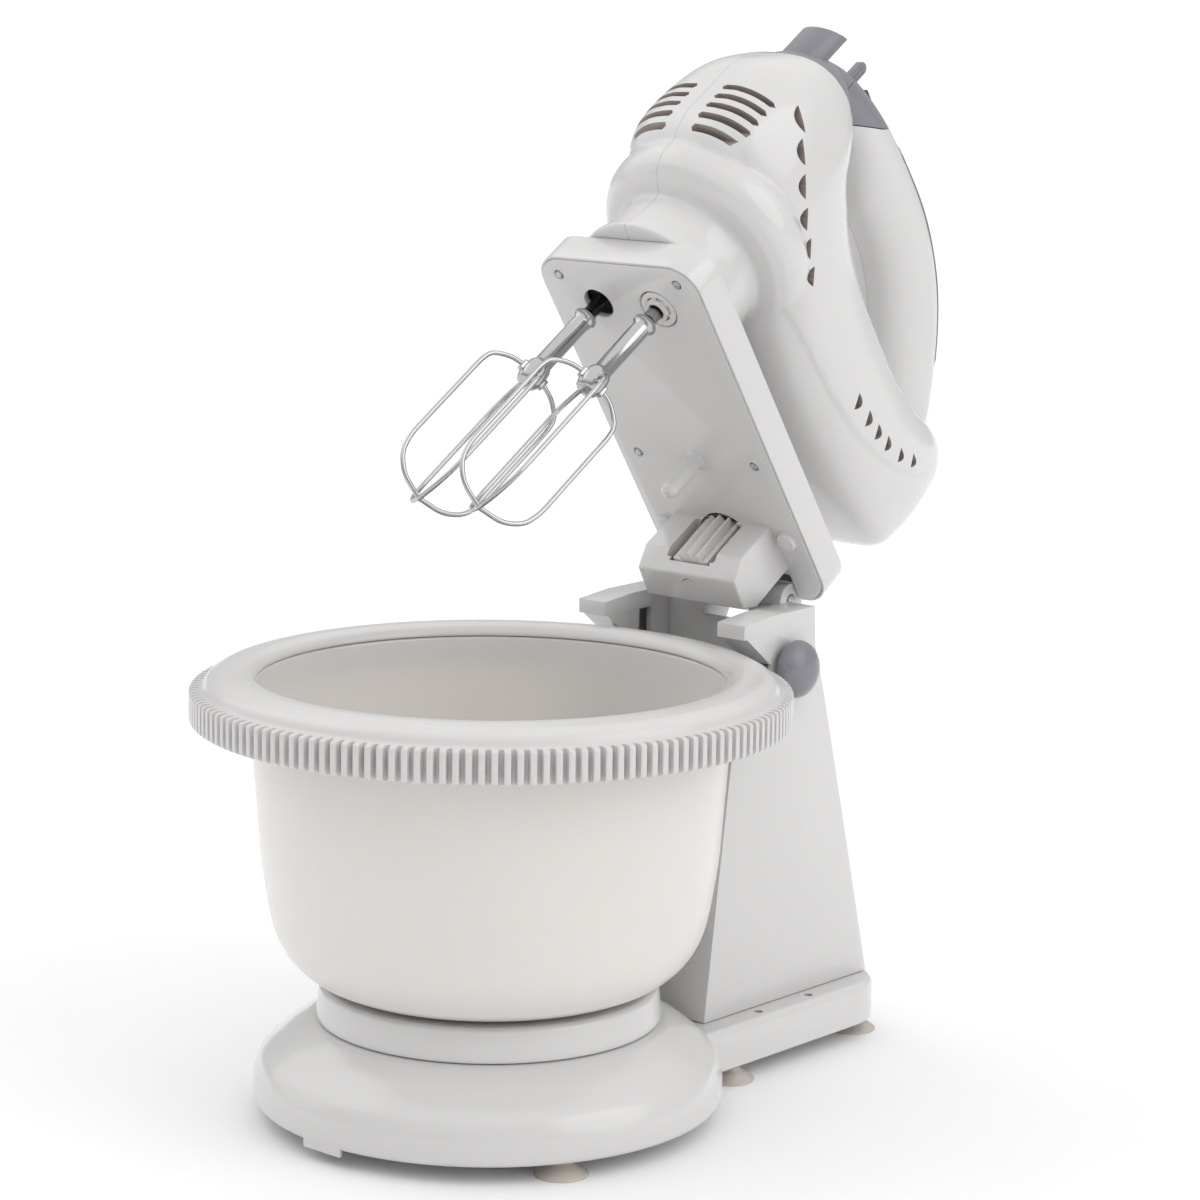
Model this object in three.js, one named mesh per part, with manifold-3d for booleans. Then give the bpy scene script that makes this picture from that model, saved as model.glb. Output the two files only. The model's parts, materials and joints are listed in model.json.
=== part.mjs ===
// Hand mixer on a stand with a rotating bowl, head tipped back.
// Millimetres, +Z up, -Y is the front, the bowl turns about a vertical axis.
// The head is modelled level, as it mixes, and its group is then turned about the hinge.
// In the head, "ahead" is -Y and height is counted from the underside of the arm.
import * as THREE from "three";
import { mergeVertices } from "three/addons/utils/BufferGeometryUtils.js";
import Module from "manifold-3d";

const wasm = await Module();
wasm.setup();

// ---------- driving dimensions ----------
const DEG = Math.PI / 180;
const GAP = 0.35; // clearance between pieces that touch
const BOWL_AXIS_Y = -79.8; // the bowl's axis, ahead of the middle of the whole object

const FOOT_RADIUS = 10.9;
const FOOT_SPOTS = [
  ["front_right", 75, -39],
  ["front_left", -75, -39],
  ["middle_right", 47, 97],
  ["middle_left", -47, 97],
  ["rear_right", 40, 190],
  ["rear_left", -40, 190],
];

const BASE_Z = 7; // bottom rim of the base
const BASE_RADIUS = 95;
const BASE_WALL = 2.6;
const BASE_SEGMENTS = 36;
const LEDGE_Z = 25; // top of the rear part of the base, beside the column
const DOME_Z = 40; // flat that carries the bowl seat
const SEAT_RADIUS = 69.8;
const SEAT_TOP_Z = 54.2;

const BASE_REAR_HALF = 54;
const BASE_REAR_Y = 204;
const BASE_REAR_CORNER = 27;

const BOWL_MOUTH_RADIUS = 100;
const BOWL_CREST_Z = 182.5;
const BOWL_WALL = 2.6;
const RING_RADIUS = 120;
const RING_ROOT_RADIUS = 115.6;
const RING_BOTTOM_Z = 161.7;
const RING_TOP_Z = 175.3;
const RING_TEETH = 157;

const COLUMN_FOOT_HALF = 42;
const COLUMN_TOP_HALF = 45.5;
const COLUMN_TOP_Z = 194;
const COLUMN_WALL = 3;
const SLOT_HALF = 31; // half the gap between the two horns
const SLOT_FLOOR_Z = 163;
const HORN_FRONT_Y = 103;
const HORN_UNDER_Z = 185.5;

const HINGE_Y = 159.5;
const HINGE_Z = 192.5;
const HINGE_PIN_RADIUS = 2.5;
const KNUCKLE_RADIUS = 7.4;
const KNUCKLE_OUTER_X = 25;
const KNUCKLE_INNER_X = 12.4;
const HEAD_TILT = 56.4 * DEG;

// Along the arm, distances ahead of the arm's own zero; the hinge lies at ARM_HINGE_U.
const ARM_HINGE_U = 72;
const ARM_HINGE_W = -4.3;
const ARM_REAR_U = 70;
const ARM_NOSE_U = 244.5;
const ARM_HALF = 41;
const ARM_PLATE = 2.4;
const ARM_TOP_W = 15;
const ARM_CORNER = 12;

const BEATER_U = 223.4;
const BEATER_X = 16.05;
const BEATER_HALF = 20;
const BEATER_PHASE = 30 * DEG;

const PINION_U = 99.8;
const PINION_TEETH = 16;
const PINION_RADIUS = 12.7;
const PINION_ROOT_RADIUS = 9.6;
const BOX_HALF = 26.5;
const BOX_FRONT_U = 110;
const BOX_REAR_U = 86.2;
const BOX_DEPTH = 31;
const PEG_U = 142.3;
const PEG_RADIUS = 3.8;
const PEG_DEPTH = 23;

const GEAR_MODULE = 2;

const NECK_U = 217; // round neck of the mixer, on the arm
const MOTOR_W = 75; // height of the motor shaft
const WORM_RADIUS = 5;
const WORM_WHEEL_TEETH = 16;
const GLAND_W = 92;

const EJECT_REAR_U = 241;
const EJECT_FRONT_U = 252;
const EJECT_HALF = 10.5;
const EJECT_TOP_W = 166.5;
const SELECTOR_U = 222.5;
const SELECTOR_X = 6;
const SELECTOR_TRAVEL = 12;
const TURBO_U = 207;

// ---------- materials ----------
function plastic(color, roughness) {
  return new THREE.MeshStandardMaterial({ color, roughness, metalness: 0 });
}
function metal(color, roughness) {
  return new THREE.MeshStandardMaterial({ color, roughness, metalness: 1 });
}
const WHITE = plastic(0xf1f1f2, 0.25);
const BOWL_WHITE = plastic(0xe9e7e4, 0.3);
const GREY = plastic(0x858991, 0.35);
const NYLON = plastic(0xe8e6dd, 0.5);
const RUBBER = plastic(0xb9b0a6, 0.35);
const DARK = plastic(0x2b2b2d, 0.6);
const CHROME = metal(0xd9dbde, 0.12);
const STEEL = metal(0x9a9da1, 0.35);
const COPPER = metal(0xb56a3a, 0.4);

// ---------- solids ----------
function solid(geometry) {
  const g = geometry.clone();
  for (const name of Object.keys(g.attributes)) {
    if (name !== "position") g.deleteAttribute(name);
  }
  const merged = mergeVertices(g, 1e-4);
  return new wasm.Manifold(
    new wasm.Mesh({
      numProp: 3,
      vertProperties: merged.attributes.position.array,
      triVerts: new Uint32Array(merged.index.array),
    }),
  );
}

function toGeometry(body) {
  const m = body.getMesh();
  return new THREE.BufferGeometry()
    .setAttribute("position", new THREE.BufferAttribute(new Float32Array(m.vertProperties), 3))
    .setIndex(new THREE.BufferAttribute(new Uint32Array(m.triVerts), 1));
}

function block(x0, x1, y0, y1, z0, z1) {
  const g = new THREE.BoxGeometry(x1 - x0, y1 - y0, z1 - z0);
  return solid(g.translate((x0 + x1) / 2, (y0 + y1) / 2, (z0 + z1) / 2));
}

// An upright cylinder or cone from z0 to z1.
function upright(x, y, z0, z1, radius, segments = 24, topRadius = radius) {
  const g = new THREE.CylinderGeometry(topRadius, radius, z1 - z0, segments);
  return solid(g.rotateX(Math.PI / 2).translate(x, y, (z0 + z1) / 2));
}

// A cylinder that lies along X, from x0 to x1.
function acrossX(x0, x1, y, z, radius, segments = 20) {
  const g = new THREE.CylinderGeometry(radius, radius, x1 - x0, segments);
  return solid(g.rotateZ(Math.PI / 2).translate((x0 + x1) / 2, y, z));
}

// A cylinder that lies along Y, from y0 to y1.
function alongY(y0, y1, x, z, radius, segments = 20) {
  const g = new THREE.CylinderGeometry(radius, radius, y1 - y0, segments);
  return solid(g.translate(x, (y0 + y1) / 2, z));
}

// A turned body: [radius, z] pairs, given from the lowest point outwards and up.
function turned(profile, segments = 48) {
  const closed = profile[0][0] === 0 ? profile : [...profile, profile[0]];
  const points = closed.map(([r, z]) => new THREE.Vector2(r, z));
  return solid(new THREE.LatheGeometry(points, segments).rotateX(Math.PI / 2));
}

// A side outline of [y, z] pairs, extruded along X from x0 to x1.
function slab(outline, x0, x1) {
  const shape = new THREE.Shape(outline.map(([y, z]) => new THREE.Vector2(y, z)));
  const g = new THREE.ExtrudeGeometry(shape, { depth: x1 - x0, bevelEnabled: false });
  // shape x -> y, shape y -> z, depth -> x
  const turn = new THREE.Matrix4().set(0, 0, 1, x0, 1, 0, 0, 0, 0, 1, 0, 0, 0, 0, 0, 1);
  return solid(g.applyMatrix4(turn));
}

// A plan outline (THREE.Shape in X and Y), extruded up from z0 to z1.
function raised(shape, z0, z1, curveSegments = 6) {
  const g = new THREE.ExtrudeGeometry(shape, {
    depth: z1 - z0,
    bevelEnabled: false,
    curveSegments,
  });
  return solid(g.translate(0, 0, z0));
}

// A plan rectangle with its own radius at the front and rear corners.
function roundedPlan(half, y0, y1, frontCorner, rearCorner) {
  const s = new THREE.Shape();
  s.moveTo(half - frontCorner, y0);
  if (frontCorner > 0) s.absarc(half - frontCorner, y0 + frontCorner, frontCorner, -Math.PI / 2, 0);
  s.lineTo(half, y1 - rearCorner);
  if (rearCorner > 0) s.absarc(half - rearCorner, y1 - rearCorner, rearCorner, 0, Math.PI / 2);
  else s.lineTo(half, y1);
  if (rearCorner > 0) {
    s.absarc(-half + rearCorner, y1 - rearCorner, rearCorner, Math.PI / 2, Math.PI);
  } else s.lineTo(-half, y1);
  if (frontCorner > 0) {
    s.absarc(-half + frontCorner, y0 + frontCorner, frontCorner, Math.PI, Math.PI * 1.5);
  } else s.lineTo(-half, y0);
  s.closePath();
  return s;
}

// A gear outline with straight flanks that meet in the gaps; share is the tip's part of the
// pitch, and 0 makes it pointed. The first tooth points along +X, turned by phase.
function gearShape(teeth, root, outer, share, phase = 0) {
  const s = new THREE.Shape();
  const pitch = (2 * Math.PI) / teeth;
  for (let i = 0; i < teeth; i++) {
    const mid = phase + i * pitch;
    const tip = share > 0 ? [-0.5 * share * pitch, 0.5 * share * pitch] : [0];
    const corners = [[root, -0.5 * pitch], ...tip.map((a) => [outer, a])];
    corners.forEach(([r, a], k) => {
      const x = r * Math.cos(mid + a);
      const y = r * Math.sin(mid + a);
      if (i + k === 0) s.moveTo(x, y);
      else s.lineTo(x, y);
    });
  }
  s.closePath();
  return s;
}

// A skin through rings of points, closed by a fan at each end.
function loft(rings) {
  const n = rings[0].length;
  const position = [];
  const index = [];
  for (const ring of rings) for (const p of ring) position.push(...p);
  for (let k = 0; k + 1 < rings.length; k++) {
    for (let i = 0; i < n; i++) {
      const a = k * n + i;
      const b = k * n + ((i + 1) % n);
      index.push(a, b, a + n, b, b + n, a + n);
    }
  }
  for (const [k, flip] of [[0, true], [rings.length - 1, false]]) {
    const c = position.length / 3;
    const ring = rings[k];
    position.push(...[0, 1, 2].map((j) => ring.reduce((t, p) => t + p[j], 0) / n));
    for (let i = 0; i < n; i++) {
      const a = k * n + i;
      const b = k * n + ((i + 1) % n);
      index.push(...(flip ? [c, b, a] : [c, a, b]));
    }
  }
  const g = new THREE.BufferGeometry();
  g.setAttribute("position", new THREE.BufferAttribute(new Float32Array(position), 3));
  g.setIndex(index);
  const made = solid(g);
  if (made.volume() > 0) return made;
  const flipped = [];
  for (let i = 0; i < index.length; i += 3) flipped.push(index[i], index[i + 2], index[i + 1]);
  return solid(g.setIndex(flipped));
}

function union(...bodies) {
  return bodies.reduce((a, b) => a.add(b));
}
function cut(body, ...tools) {
  return tools.reduce((a, b) => a.subtract(b), body);
}

const object = new THREE.Group();
object.position.y = BOWL_AXIS_Y;

function put(group, name, body, material, position = [0, 0, 0]) {
  const mesh = new THREE.Mesh(toGeometry(body), material);
  mesh.name = name;
  mesh.position.set(...position);
  group.add(mesh);
  return mesh;
}

// ---------- stand: base, feet, column ----------
// The outside of the base, shrunk by inset; a hollow starts lower than the rim.
function baseBody(inset, bottom, segments = BASE_SEGMENTS) {
  const r = BASE_RADIUS - inset;
  const disc = turned(
    [
      [0, bottom],
      [r, bottom],
      [r, 18 - inset],
      [r - 2.6, LEDGE_Z - 0.6 - inset],
      [r - 6, LEDGE_Z + 3 - inset],
      [r - 14, LEDGE_Z + 9.5 - inset],
      [SEAT_RADIUS + 1.5, DOME_Z - inset],
      [0, DOME_Z - inset],
    ],
    segments,
  );
  const rear = raised(
    roundedPlan(BASE_REAR_HALF - inset, 20, BASE_REAR_Y - inset, 0, BASE_REAR_CORNER - inset),
    bottom,
    LEDGE_Z - inset,
  );
  return union(disc, rear);
}

function makeBase() {
  let shell = cut(baseBody(0, BASE_Z), baseBody(BASE_WALL, BASE_Z - 5, 24));
  const frontTab = block(-10, 10, -BASE_RADIUS + 0.6, -BASE_RADIUS + 2.2, 4.6, BASE_Z + 3);
  const spindleBore = upright(0, 0, 30, 50, 6.2, 20);
  shell = cut(union(shell, frontTab), spindleBore);
  for (const x of [-34, 34]) {
    shell = cut(shell, upright(x, 120, 20, 30, 2.2, 12), upright(x, 152, 20, 30, 2.2, 12));
  }
  put(object, "base_shell", shell, WHITE);

  const plateInset = BASE_WALL + GAP;
  const stemHole = 3;
  let plate = union(
    upright(0, 0, BASE_Z, BASE_Z + 2, BASE_RADIUS - plateInset, 24),
    raised(
      roundedPlan(
        BASE_REAR_HALF - plateInset,
        20,
        BASE_REAR_Y - plateInset,
        0,
        BASE_REAR_CORNER - plateInset,
      ),
      BASE_Z,
      BASE_Z + 2,
    ),
  );
  for (const [, x, y] of FOOT_SPOTS) plate = cut(plate, upright(x, y, 5, 12, stemHole, 12));
  put(object, "base_bottom_plate", plate, WHITE);

  put(
    object,
    "seat_spindle",
    turned(
      [
        [0, 31],
        [9, 31],
        [9, 37 - GAP],
        [5.8, 37 - GAP],
        [5.8, DOME_Z + 0.6],
        [2, DOME_Z + 2.4],
        [0, DOME_Z + 2.4],
      ],
      24,
    ),
    STEEL,
  );
}

function makeFeet() {
  const stem = 2.6;
  for (const [place, x, y] of FOOT_SPOTS) {
    const cup = turned(
      [
        [0, 2.2],
        [FOOT_RADIUS - 1.8, 0],
        [FOOT_RADIUS, 0],
        [5.4, 4.4],
        [stem + 1.6, BASE_Z - GAP],
        [stem, BASE_Z - GAP],
        [stem, BASE_Z + 3.4],
        [0, BASE_Z + 3.4],
      ],
      12,
    );
    put(object, "suction_foot_" + place, cup, RUBBER, [x, y, 0]);
  }
}

// Side outline of the column; inset shrinks it for the hollow inside.
function columnBody(inset) {
  const outline = [
    [86 + inset, LEDGE_Z + GAP],
    [100 + inset, 157 - inset],
    [122.5 + inset, 157.5 - inset],
    [122.5 + inset, HORN_UNDER_Z],
    [HORN_FRONT_Y + inset, HORN_UNDER_Z],
    [HORN_FRONT_Y + inset, COLUMN_TOP_Z - 2.5],
    [122, COLUMN_TOP_Z - 0.5],
    [150 - inset, COLUMN_TOP_Z],
    [151 - inset, 177],
    [158 - inset, 157],
    [198 - inset, LEDGE_Z + GAP],
  ];
  const side = slab(outline, -80, 80);
  const lean = (COLUMN_TOP_HALF - COLUMN_FOOT_HALF) / (COLUMN_TOP_Z - LEDGE_Z);
  const rings = [LEDGE_Z - 4, COLUMN_TOP_Z + 6].map((z) => {
    const half = COLUMN_FOOT_HALF + (z - LEDGE_Z) * lean - inset;
    // the rear corners are rounded more than the front ones
    const rear = 206 - ((z - LEDGE_Z) * 46) / (COLUMN_TOP_Z - LEDGE_Z) - inset;
    return roundedPlan(half, 60, rear, 3, 12).extractPoints(5).shape.map((p) => [p.x, p.y, z]);
  });
  return side.intersect(loft(rings));
}

function makeColumn() {
  let shell = columnBody(0);
  const inside = columnBody(COLUMN_WALL).intersect(
    block(-80, 80, 60, 220, LEDGE_Z - 5, SLOT_FLOOR_Z - COLUMN_WALL),
  );
  const floorOpening = block(-38, 38, 91, 192, LEDGE_Z - 2, LEDGE_Z + 4);
  shell = cut(shell, inside, floorOpening, baseBody(-GAP, BASE_Z));
  // the slot that takes the gear box of the arm
  shell = cut(
    shell,
    block(-SLOT_HALF, SLOT_HALF, 90, 146.5, SLOT_FLOOR_Z, 220),
    block(-KNUCKLE_INNER_X, KNUCKLE_INNER_X, 140, 200, HINGE_Z - KNUCKLE_RADIUS - 2, 220),
    block(-SLOT_HALF, SLOT_HALF, 140, 200, COLUMN_TOP_Z - 3, 220),
    // pocket inside each horn
    block(SLOT_HALF + 3, COLUMN_TOP_HALF - 3, 112, 144, 150, COLUMN_TOP_Z - 4),
    block(-COLUMN_TOP_HALF + 3, -SLOT_HALF - 3, 112, 144, 150, COLUMN_TOP_Z - 4),
    // windows in the inner faces of the horns
    block(-SLOT_HALF - 4, -SLOT_HALF + 1, 118, 134, 172, 186),
    block(SLOT_HALF - 1, SLOT_HALF + 4, 118, 134, 172, 186),
  );
  const ear = [];
  for (const x of [KNUCKLE_INNER_X, -KNUCKLE_OUTER_X]) {
    const width = KNUCKLE_OUTER_X - KNUCKLE_INNER_X;
    ear.push(
      union(
        acrossX(x, x + width, HINGE_Y, HINGE_Z, KNUCKLE_RADIUS, 24),
        slab(
          [
            [146.6, 166],
            [155, 166],
            [HINGE_Y + KNUCKLE_RADIUS, HINGE_Z - 3],
            [HINGE_Y + KNUCKLE_RADIUS, HINGE_Z],
            [HINGE_Y - KNUCKLE_RADIUS, HINGE_Z],
            [149, 178],
          ],
          x,
          x + width,
        ),
      ),
    );
  }
  shell = union(shell, ...ear);
  shell = cut(shell, acrossX(-40, 40, HINGE_Y, HINGE_Z, HINGE_PIN_RADIUS + GAP, 20));
  // way through the right side for the release button, and its bar
  shell = cut(shell, acrossX(SLOT_HALF - 2, 60, 133, 170, 6.2, 20));
  put(object, "column_shell", shell, WHITE);

  put(
    object,
    "hinge_pin",
    acrossX(-KNUCKLE_OUTER_X - 0.6, KNUCKLE_OUTER_X + 0.6, HINGE_Y, HINGE_Z, HINGE_PIN_RADIUS, 20),
    STEEL,
  );
  for (const [i, [x, y]] of [[34, 120], [34, 152], [-34, 120], [-34, 152]].entries()) {
    const screw = union(
      upright(x, y, 18, LEDGE_Z + 6, 1.6, 8),
      upright(x, y, 15.5, LEDGE_Z - BASE_WALL - GAP, 3.4, 10),
    );
    put(object, "column_screw_" + (i + 1), screw, STEEL);
  }
}

// ---------- bowl and its seat ----------
function makeBowl() {
  const seat = turned(
    [
      [0, DOME_Z + 8],
      [6.5, DOME_Z + 6],
      [12, DOME_Z + GAP],
      [SEAT_RADIUS, DOME_Z + GAP],
      [SEAT_RADIUS - 0.4, DOME_Z + 2.6],
      [SEAT_RADIUS - 1.4, SEAT_TOP_Z],
      [14, SEAT_TOP_Z],
      [7, SEAT_TOP_Z + 3.6],
      [0, SEAT_TOP_Z + 3.6],
    ],
    BASE_SEGMENTS,
  );
  put(object, "bowl_seat", seat, WHITE);

  const floorZ = SEAT_TOP_Z + GAP;
  const bowl = turned(
    [
      [0, SEAT_TOP_Z + 4.2],
      [8, SEAT_TOP_Z + 4.2],
      [15.5, floorZ],
      [61, floorZ],
      [72, floorZ + 4.2],
      [80.5, floorZ + 11],
      [86, floorZ + 20.5],
      [88.6, floorZ + 31],
      [95.6, 158],
      [96.4, RING_TOP_Z + 1.4],
      [96.4 - BOWL_WALL, RING_TOP_Z + 1.4],
      [95.6 - BOWL_WALL, 158],
      [88.6 - BOWL_WALL, floorZ + 31.6],
      [83.4, floorZ + 21.8],
      [77.2, floorZ + 12.2],
      [60.4, floorZ + BOWL_WALL],
      [18, floorZ + BOWL_WALL],
      [10, SEAT_TOP_Z + 7.2],
      [0, SEAT_TOP_Z + 7.2],
    ],
    BASE_SEGMENTS,
  );
  put(object, "bowl", bowl, BOWL_WHITE);

  const flange = turned(
    [
      [96.4 + GAP, RING_BOTTOM_Z + 2],
      [99.4, RING_BOTTOM_Z + 2],
      [99.6, RING_TOP_Z - 3],
      [RING_ROOT_RADIUS - 2, RING_TOP_Z - 3],
      [113.6, 177.6],
      [108.5, 180.9],
      [BOWL_MOUTH_RADIUS, BOWL_CREST_Z],
      [95, 180.8],
      [93.6, RING_TOP_Z + 1.4 + GAP],
      [96.4 + GAP, RING_TOP_Z + 1.4 + GAP],
    ],
    BASE_SEGMENTS,
  );
  // a gap faces the pinion at rest, and a tooth after a quarter turn
  const phase = Math.PI / 2 + Math.PI / RING_TEETH;
  const teeth = gearShape(RING_TEETH, RING_ROOT_RADIUS, RING_RADIUS, 0, phase);
  teeth.holes.push(new THREE.Path().absarc(0, 0, RING_ROOT_RADIUS - 3, 0, 2 * Math.PI, true));
  const crown = raised(teeth, RING_BOTTOM_Z, RING_TOP_Z, 16);
  put(object, "bowl_gear_ring", union(flange, crown), WHITE);
}

// ---------- release button ----------
function makeRelease() {
  const y = 133;
  const z = 170;
  const dome = turned(
    [
      [0, 0],
      [12.2, 0],
      [12.4, 2],
      [11.6, 5],
      [9, 8],
      [5, 9.7],
      [0, 10.2],
    ],
    28,
  ).rotate([0, 90, 0]).translate([COLUMN_TOP_HALF + 2.6, y, z]);
  const stem = acrossX(SLOT_HALF + 4, COLUMN_TOP_HALF + 3.4, y, z, 5.6, 20);
  const tongue = block(SLOT_HALF + 6, SLOT_HALF + 8.6, y - 3, y + 3, z - 5, z + 12);
  put(object, "release_button", union(dome, stem, tongue), GREY);
}

// ---------- head ----------
const head = new THREE.Group();
head.position.set(0, HINGE_Y, HINGE_Z);
head.rotation.x = -HEAD_TILT;
object.add(head);
const arm = new THREE.Group();
arm.position.set(0, ARM_HINGE_U, -ARM_HINGE_W);
head.add(arm);

const SCREW_SPOTS = [
  [31.5, 236.8],
  [-31.5, 236.8],
  [31.5, 142.8],
  [-31.5, 142.8],
];

function makeArm() {
  const outline = roundedPlan(ARM_HALF, -ARM_NOSE_U, -ARM_REAR_U, ARM_CORNER, ARM_CORNER);
  const shellOutline = roundedPlan(
    ARM_HALF + 1.4, -ARM_NOSE_U - 1.4, -ARM_REAR_U + 1.4, ARM_CORNER + 1.4, ARM_CORNER + 1.4,
  );
  const inner = roundedPlan(
    ARM_HALF - 1.4, -ARM_NOSE_U + 1.4, -ARM_REAR_U - 1.4, ARM_CORNER - 1.4, ARM_CORNER - 1.4,
  );
  let plate = raised(outline, 0, ARM_PLATE);
  // gear box that hangs under the plate
  const boxOutline = [
    [-BOX_FRONT_U, 0.5],
    [-BOX_FRONT_U - 0.6, -BOX_DEPTH + 9.5],
    [-BOX_FRONT_U + 4.6, -BOX_DEPTH],
    [-BOX_REAR_U - 5, -BOX_DEPTH - 1.2],
    [-BOX_REAR_U, -BOX_DEPTH + 6],
    [-BOX_REAR_U, 0.5],
  ];
  plate = union(
    plate,
    slab(boxOutline, -BOX_HALF, BOX_HALF),
    upright(0, -PEG_U, -PEG_DEPTH + PEG_RADIUS, 0.5, PEG_RADIUS, 16),
    pegEnd(0, -PEG_U, -PEG_DEPTH + PEG_RADIUS, PEG_RADIUS),
    upright(33, -103, -2.5, 0.5, 4.4, 12, 4.8),
    upright(-33, -103, -2.5, 0.5, 4.4, 12, 4.8),
  );
  // pocket for the pinion, open to the front, then its bearing in the floor
  plate = cut(
    plate,
    upright(0, -PINION_U, -26.4, 10, PINION_RADIUS + 1, 24),
    upright(0, -PINION_U, -40, 0, 3.3, 12),
  );
  // notch that clears the knuckles of the column
  plate = cut(plate, block(-KNUCKLE_OUTER_X - 1, KNUCKLE_OUTER_X + 1, -83, 0, -12, 10));
  const lug = union(
    acrossX(
      -KNUCKLE_INNER_X + 0.5, KNUCKLE_INNER_X - 0.5, -ARM_HINGE_U, ARM_HINGE_W,
      KNUCKLE_RADIUS - 0.2, 24,
    ),
    block(
      -KNUCKLE_INNER_X + 0.5, KNUCKLE_INNER_X - 0.5, -84, -ARM_HINGE_U,
      ARM_HINGE_W - 5, ARM_PLATE,
    ),
  );
  plate = union(plate, lug);
  plate = cut(
    plate,
    acrossX(-30, 30, -ARM_HINGE_U, ARM_HINGE_W, HINGE_PIN_RADIUS + GAP, 20),
    upright(-BEATER_X, -BEATER_U, -3, 5, 6.9, 20),
    upright(BEATER_X, -BEATER_U, -3, 5, 8.9, 20),
  );
  for (const [x, u] of SCREW_SPOTS) plate = cut(plate, upright(x, -u, -2, 6, 2.15, 8));
  put(arm, "arm_bottom_plate", plate, WHITE);

  let shell = raised(shellOutline, 0.6, ARM_TOP_W);
  shell = cut(
    shell,
    raised(inner, ARM_PLATE + GAP, ARM_TOP_W - 2.2),
    raised(
      roundedPlan(
        ARM_HALF + GAP, -ARM_NOSE_U - GAP, -ARM_REAR_U + GAP,
        ARM_CORNER + GAP, ARM_CORNER + GAP,
      ),
      -1,
      ARM_PLATE + GAP,
    ),
  );
  for (const [x, u] of SCREW_SPOTS) {
    shell = union(shell, upright(x, -u, ARM_PLATE + GAP, ARM_TOP_W - 1, 3.6, 10));
    shell = cut(shell, upright(x, -u, -1, ARM_TOP_W - 3, 1.9, 8));
  }
  shell = cut(
    shell,
    // round seat for the neck of the mixer
    upright(0, -NECK_U, ARM_TOP_W - 4, ARM_TOP_W + 2, 26.5, 24),
    block(-KNUCKLE_OUTER_X - 1, KNUCKLE_OUTER_X + 1, -83, 0, -2, 7),
  );
  put(arm, "arm_top_shell", shell, WHITE);

  SCREW_SPOTS.forEach(([x, u], i) => {
    const screw = union(
      upright(x, -u, -0.2, 10, 1.4, 8),
      upright(x, -u, 0.2, 1.4, 1.8, 8),
    );
    put(arm, "arm_screw_" + (i + 1), screw, STEEL);
  });
}

// The rounded end of a peg that points down.
function pegEnd(x, y, z, radius) {
  return turned(
    [
      [0, -radius],
      [radius * 0.7, -radius * 0.7],
      [radius, 0],
      [radius, 1],
      [0, 1],
    ],
    16,
  ).translate([x, y, z]);
}

// ---------- drive from the right beater to the bowl, inside the arm ----------
const GEAR_FLOOR_W = ARM_PLATE + GAP + 0.4;
const GEAR_TOP_W = GEAR_FLOOR_W + 5;
const SLEEVE_TEETH = 14;
const IDLER_TEETH = 25;
const PINION_WHEEL_TEETH = 14;
const DRIVE_PITCH = GEAR_MODULE / 2;

// Centres along the arm as [x, u]; each idler meshes with its neighbours on both sides.
const SLEEVE_AT = [BEATER_X, BEATER_U];
const PINION_AT = [0, PINION_U];
const FIRST_STEP = (SLEEVE_TEETH + IDLER_TEETH) * DRIVE_PITCH;
const MIDDLE_STEP = 2 * IDLER_TEETH * DRIVE_PITCH;
const LAST_STEP = (IDLER_TEETH + PINION_WHEEL_TEETH) * DRIVE_PITCH;

// The point at distance r0 from a and r1 from b, on the side of smaller x.
function meetingPoint(a, r0, b, r1) {
  const dx = b[0] - a[0];
  const dy = b[1] - a[1];
  const d = Math.hypot(dx, dy);
  const along = (r0 ** 2 - r1 ** 2 + d ** 2) / (2 * d);
  const aside = Math.sqrt(r0 ** 2 - along ** 2);
  const options = [-1, 1].map((k) => [
    a[0] + (along * dx + k * aside * dy) / d,
    a[1] + (along * dy - k * aside * dx) / d,
  ]);
  return options.sort((p, q) => p[0] - q[0])[0];
}
const IDLER_2_AT = [0, PINION_U + LAST_STEP];
const IDLER_1_AT = meetingPoint(SLEEVE_AT, FIRST_STEP, IDLER_2_AT, MIDDLE_STEP);

// Plan position of a gear centre: u runs towards -Y.
const plan = ([x, u]) => [x, -u];

// Phase that puts a gap of the second gear where the first gear's tooth stands.
function meshPhase(a, teethA, phaseA, b, teethB) {
  const [ax, ay] = plan(a);
  const [bx, by] = plan(b);
  const towards = Math.atan2(by - ay, bx - ax);
  const pitchA = (2 * Math.PI) / teethA;
  const pitchB = (2 * Math.PI) / teethB;
  const offset = (towards - phaseA) / pitchA;
  return towards + Math.PI + (0.5 + offset) * pitchB;
}

const SLEEVE_PHASE = 0;
const IDLER_1_PHASE = meshPhase(SLEEVE_AT, SLEEVE_TEETH, SLEEVE_PHASE, IDLER_1_AT, IDLER_TEETH);
const IDLER_2_PHASE = meshPhase(IDLER_1_AT, IDLER_TEETH, IDLER_1_PHASE, IDLER_2_AT, IDLER_TEETH);
const WHEEL_PHASE = meshPhase(
  IDLER_2_AT, IDLER_TEETH, IDLER_2_PHASE, PINION_AT, PINION_WHEEL_TEETH,
);

function driveGear(teeth, phase) {
  const r = teeth * DRIVE_PITCH;
  return raised(
    gearShape(teeth, r - 2.6, r + 1.1, 0.18, phase),
    GEAR_FLOOR_W,
    GEAR_TOP_W,
  );
}

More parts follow.
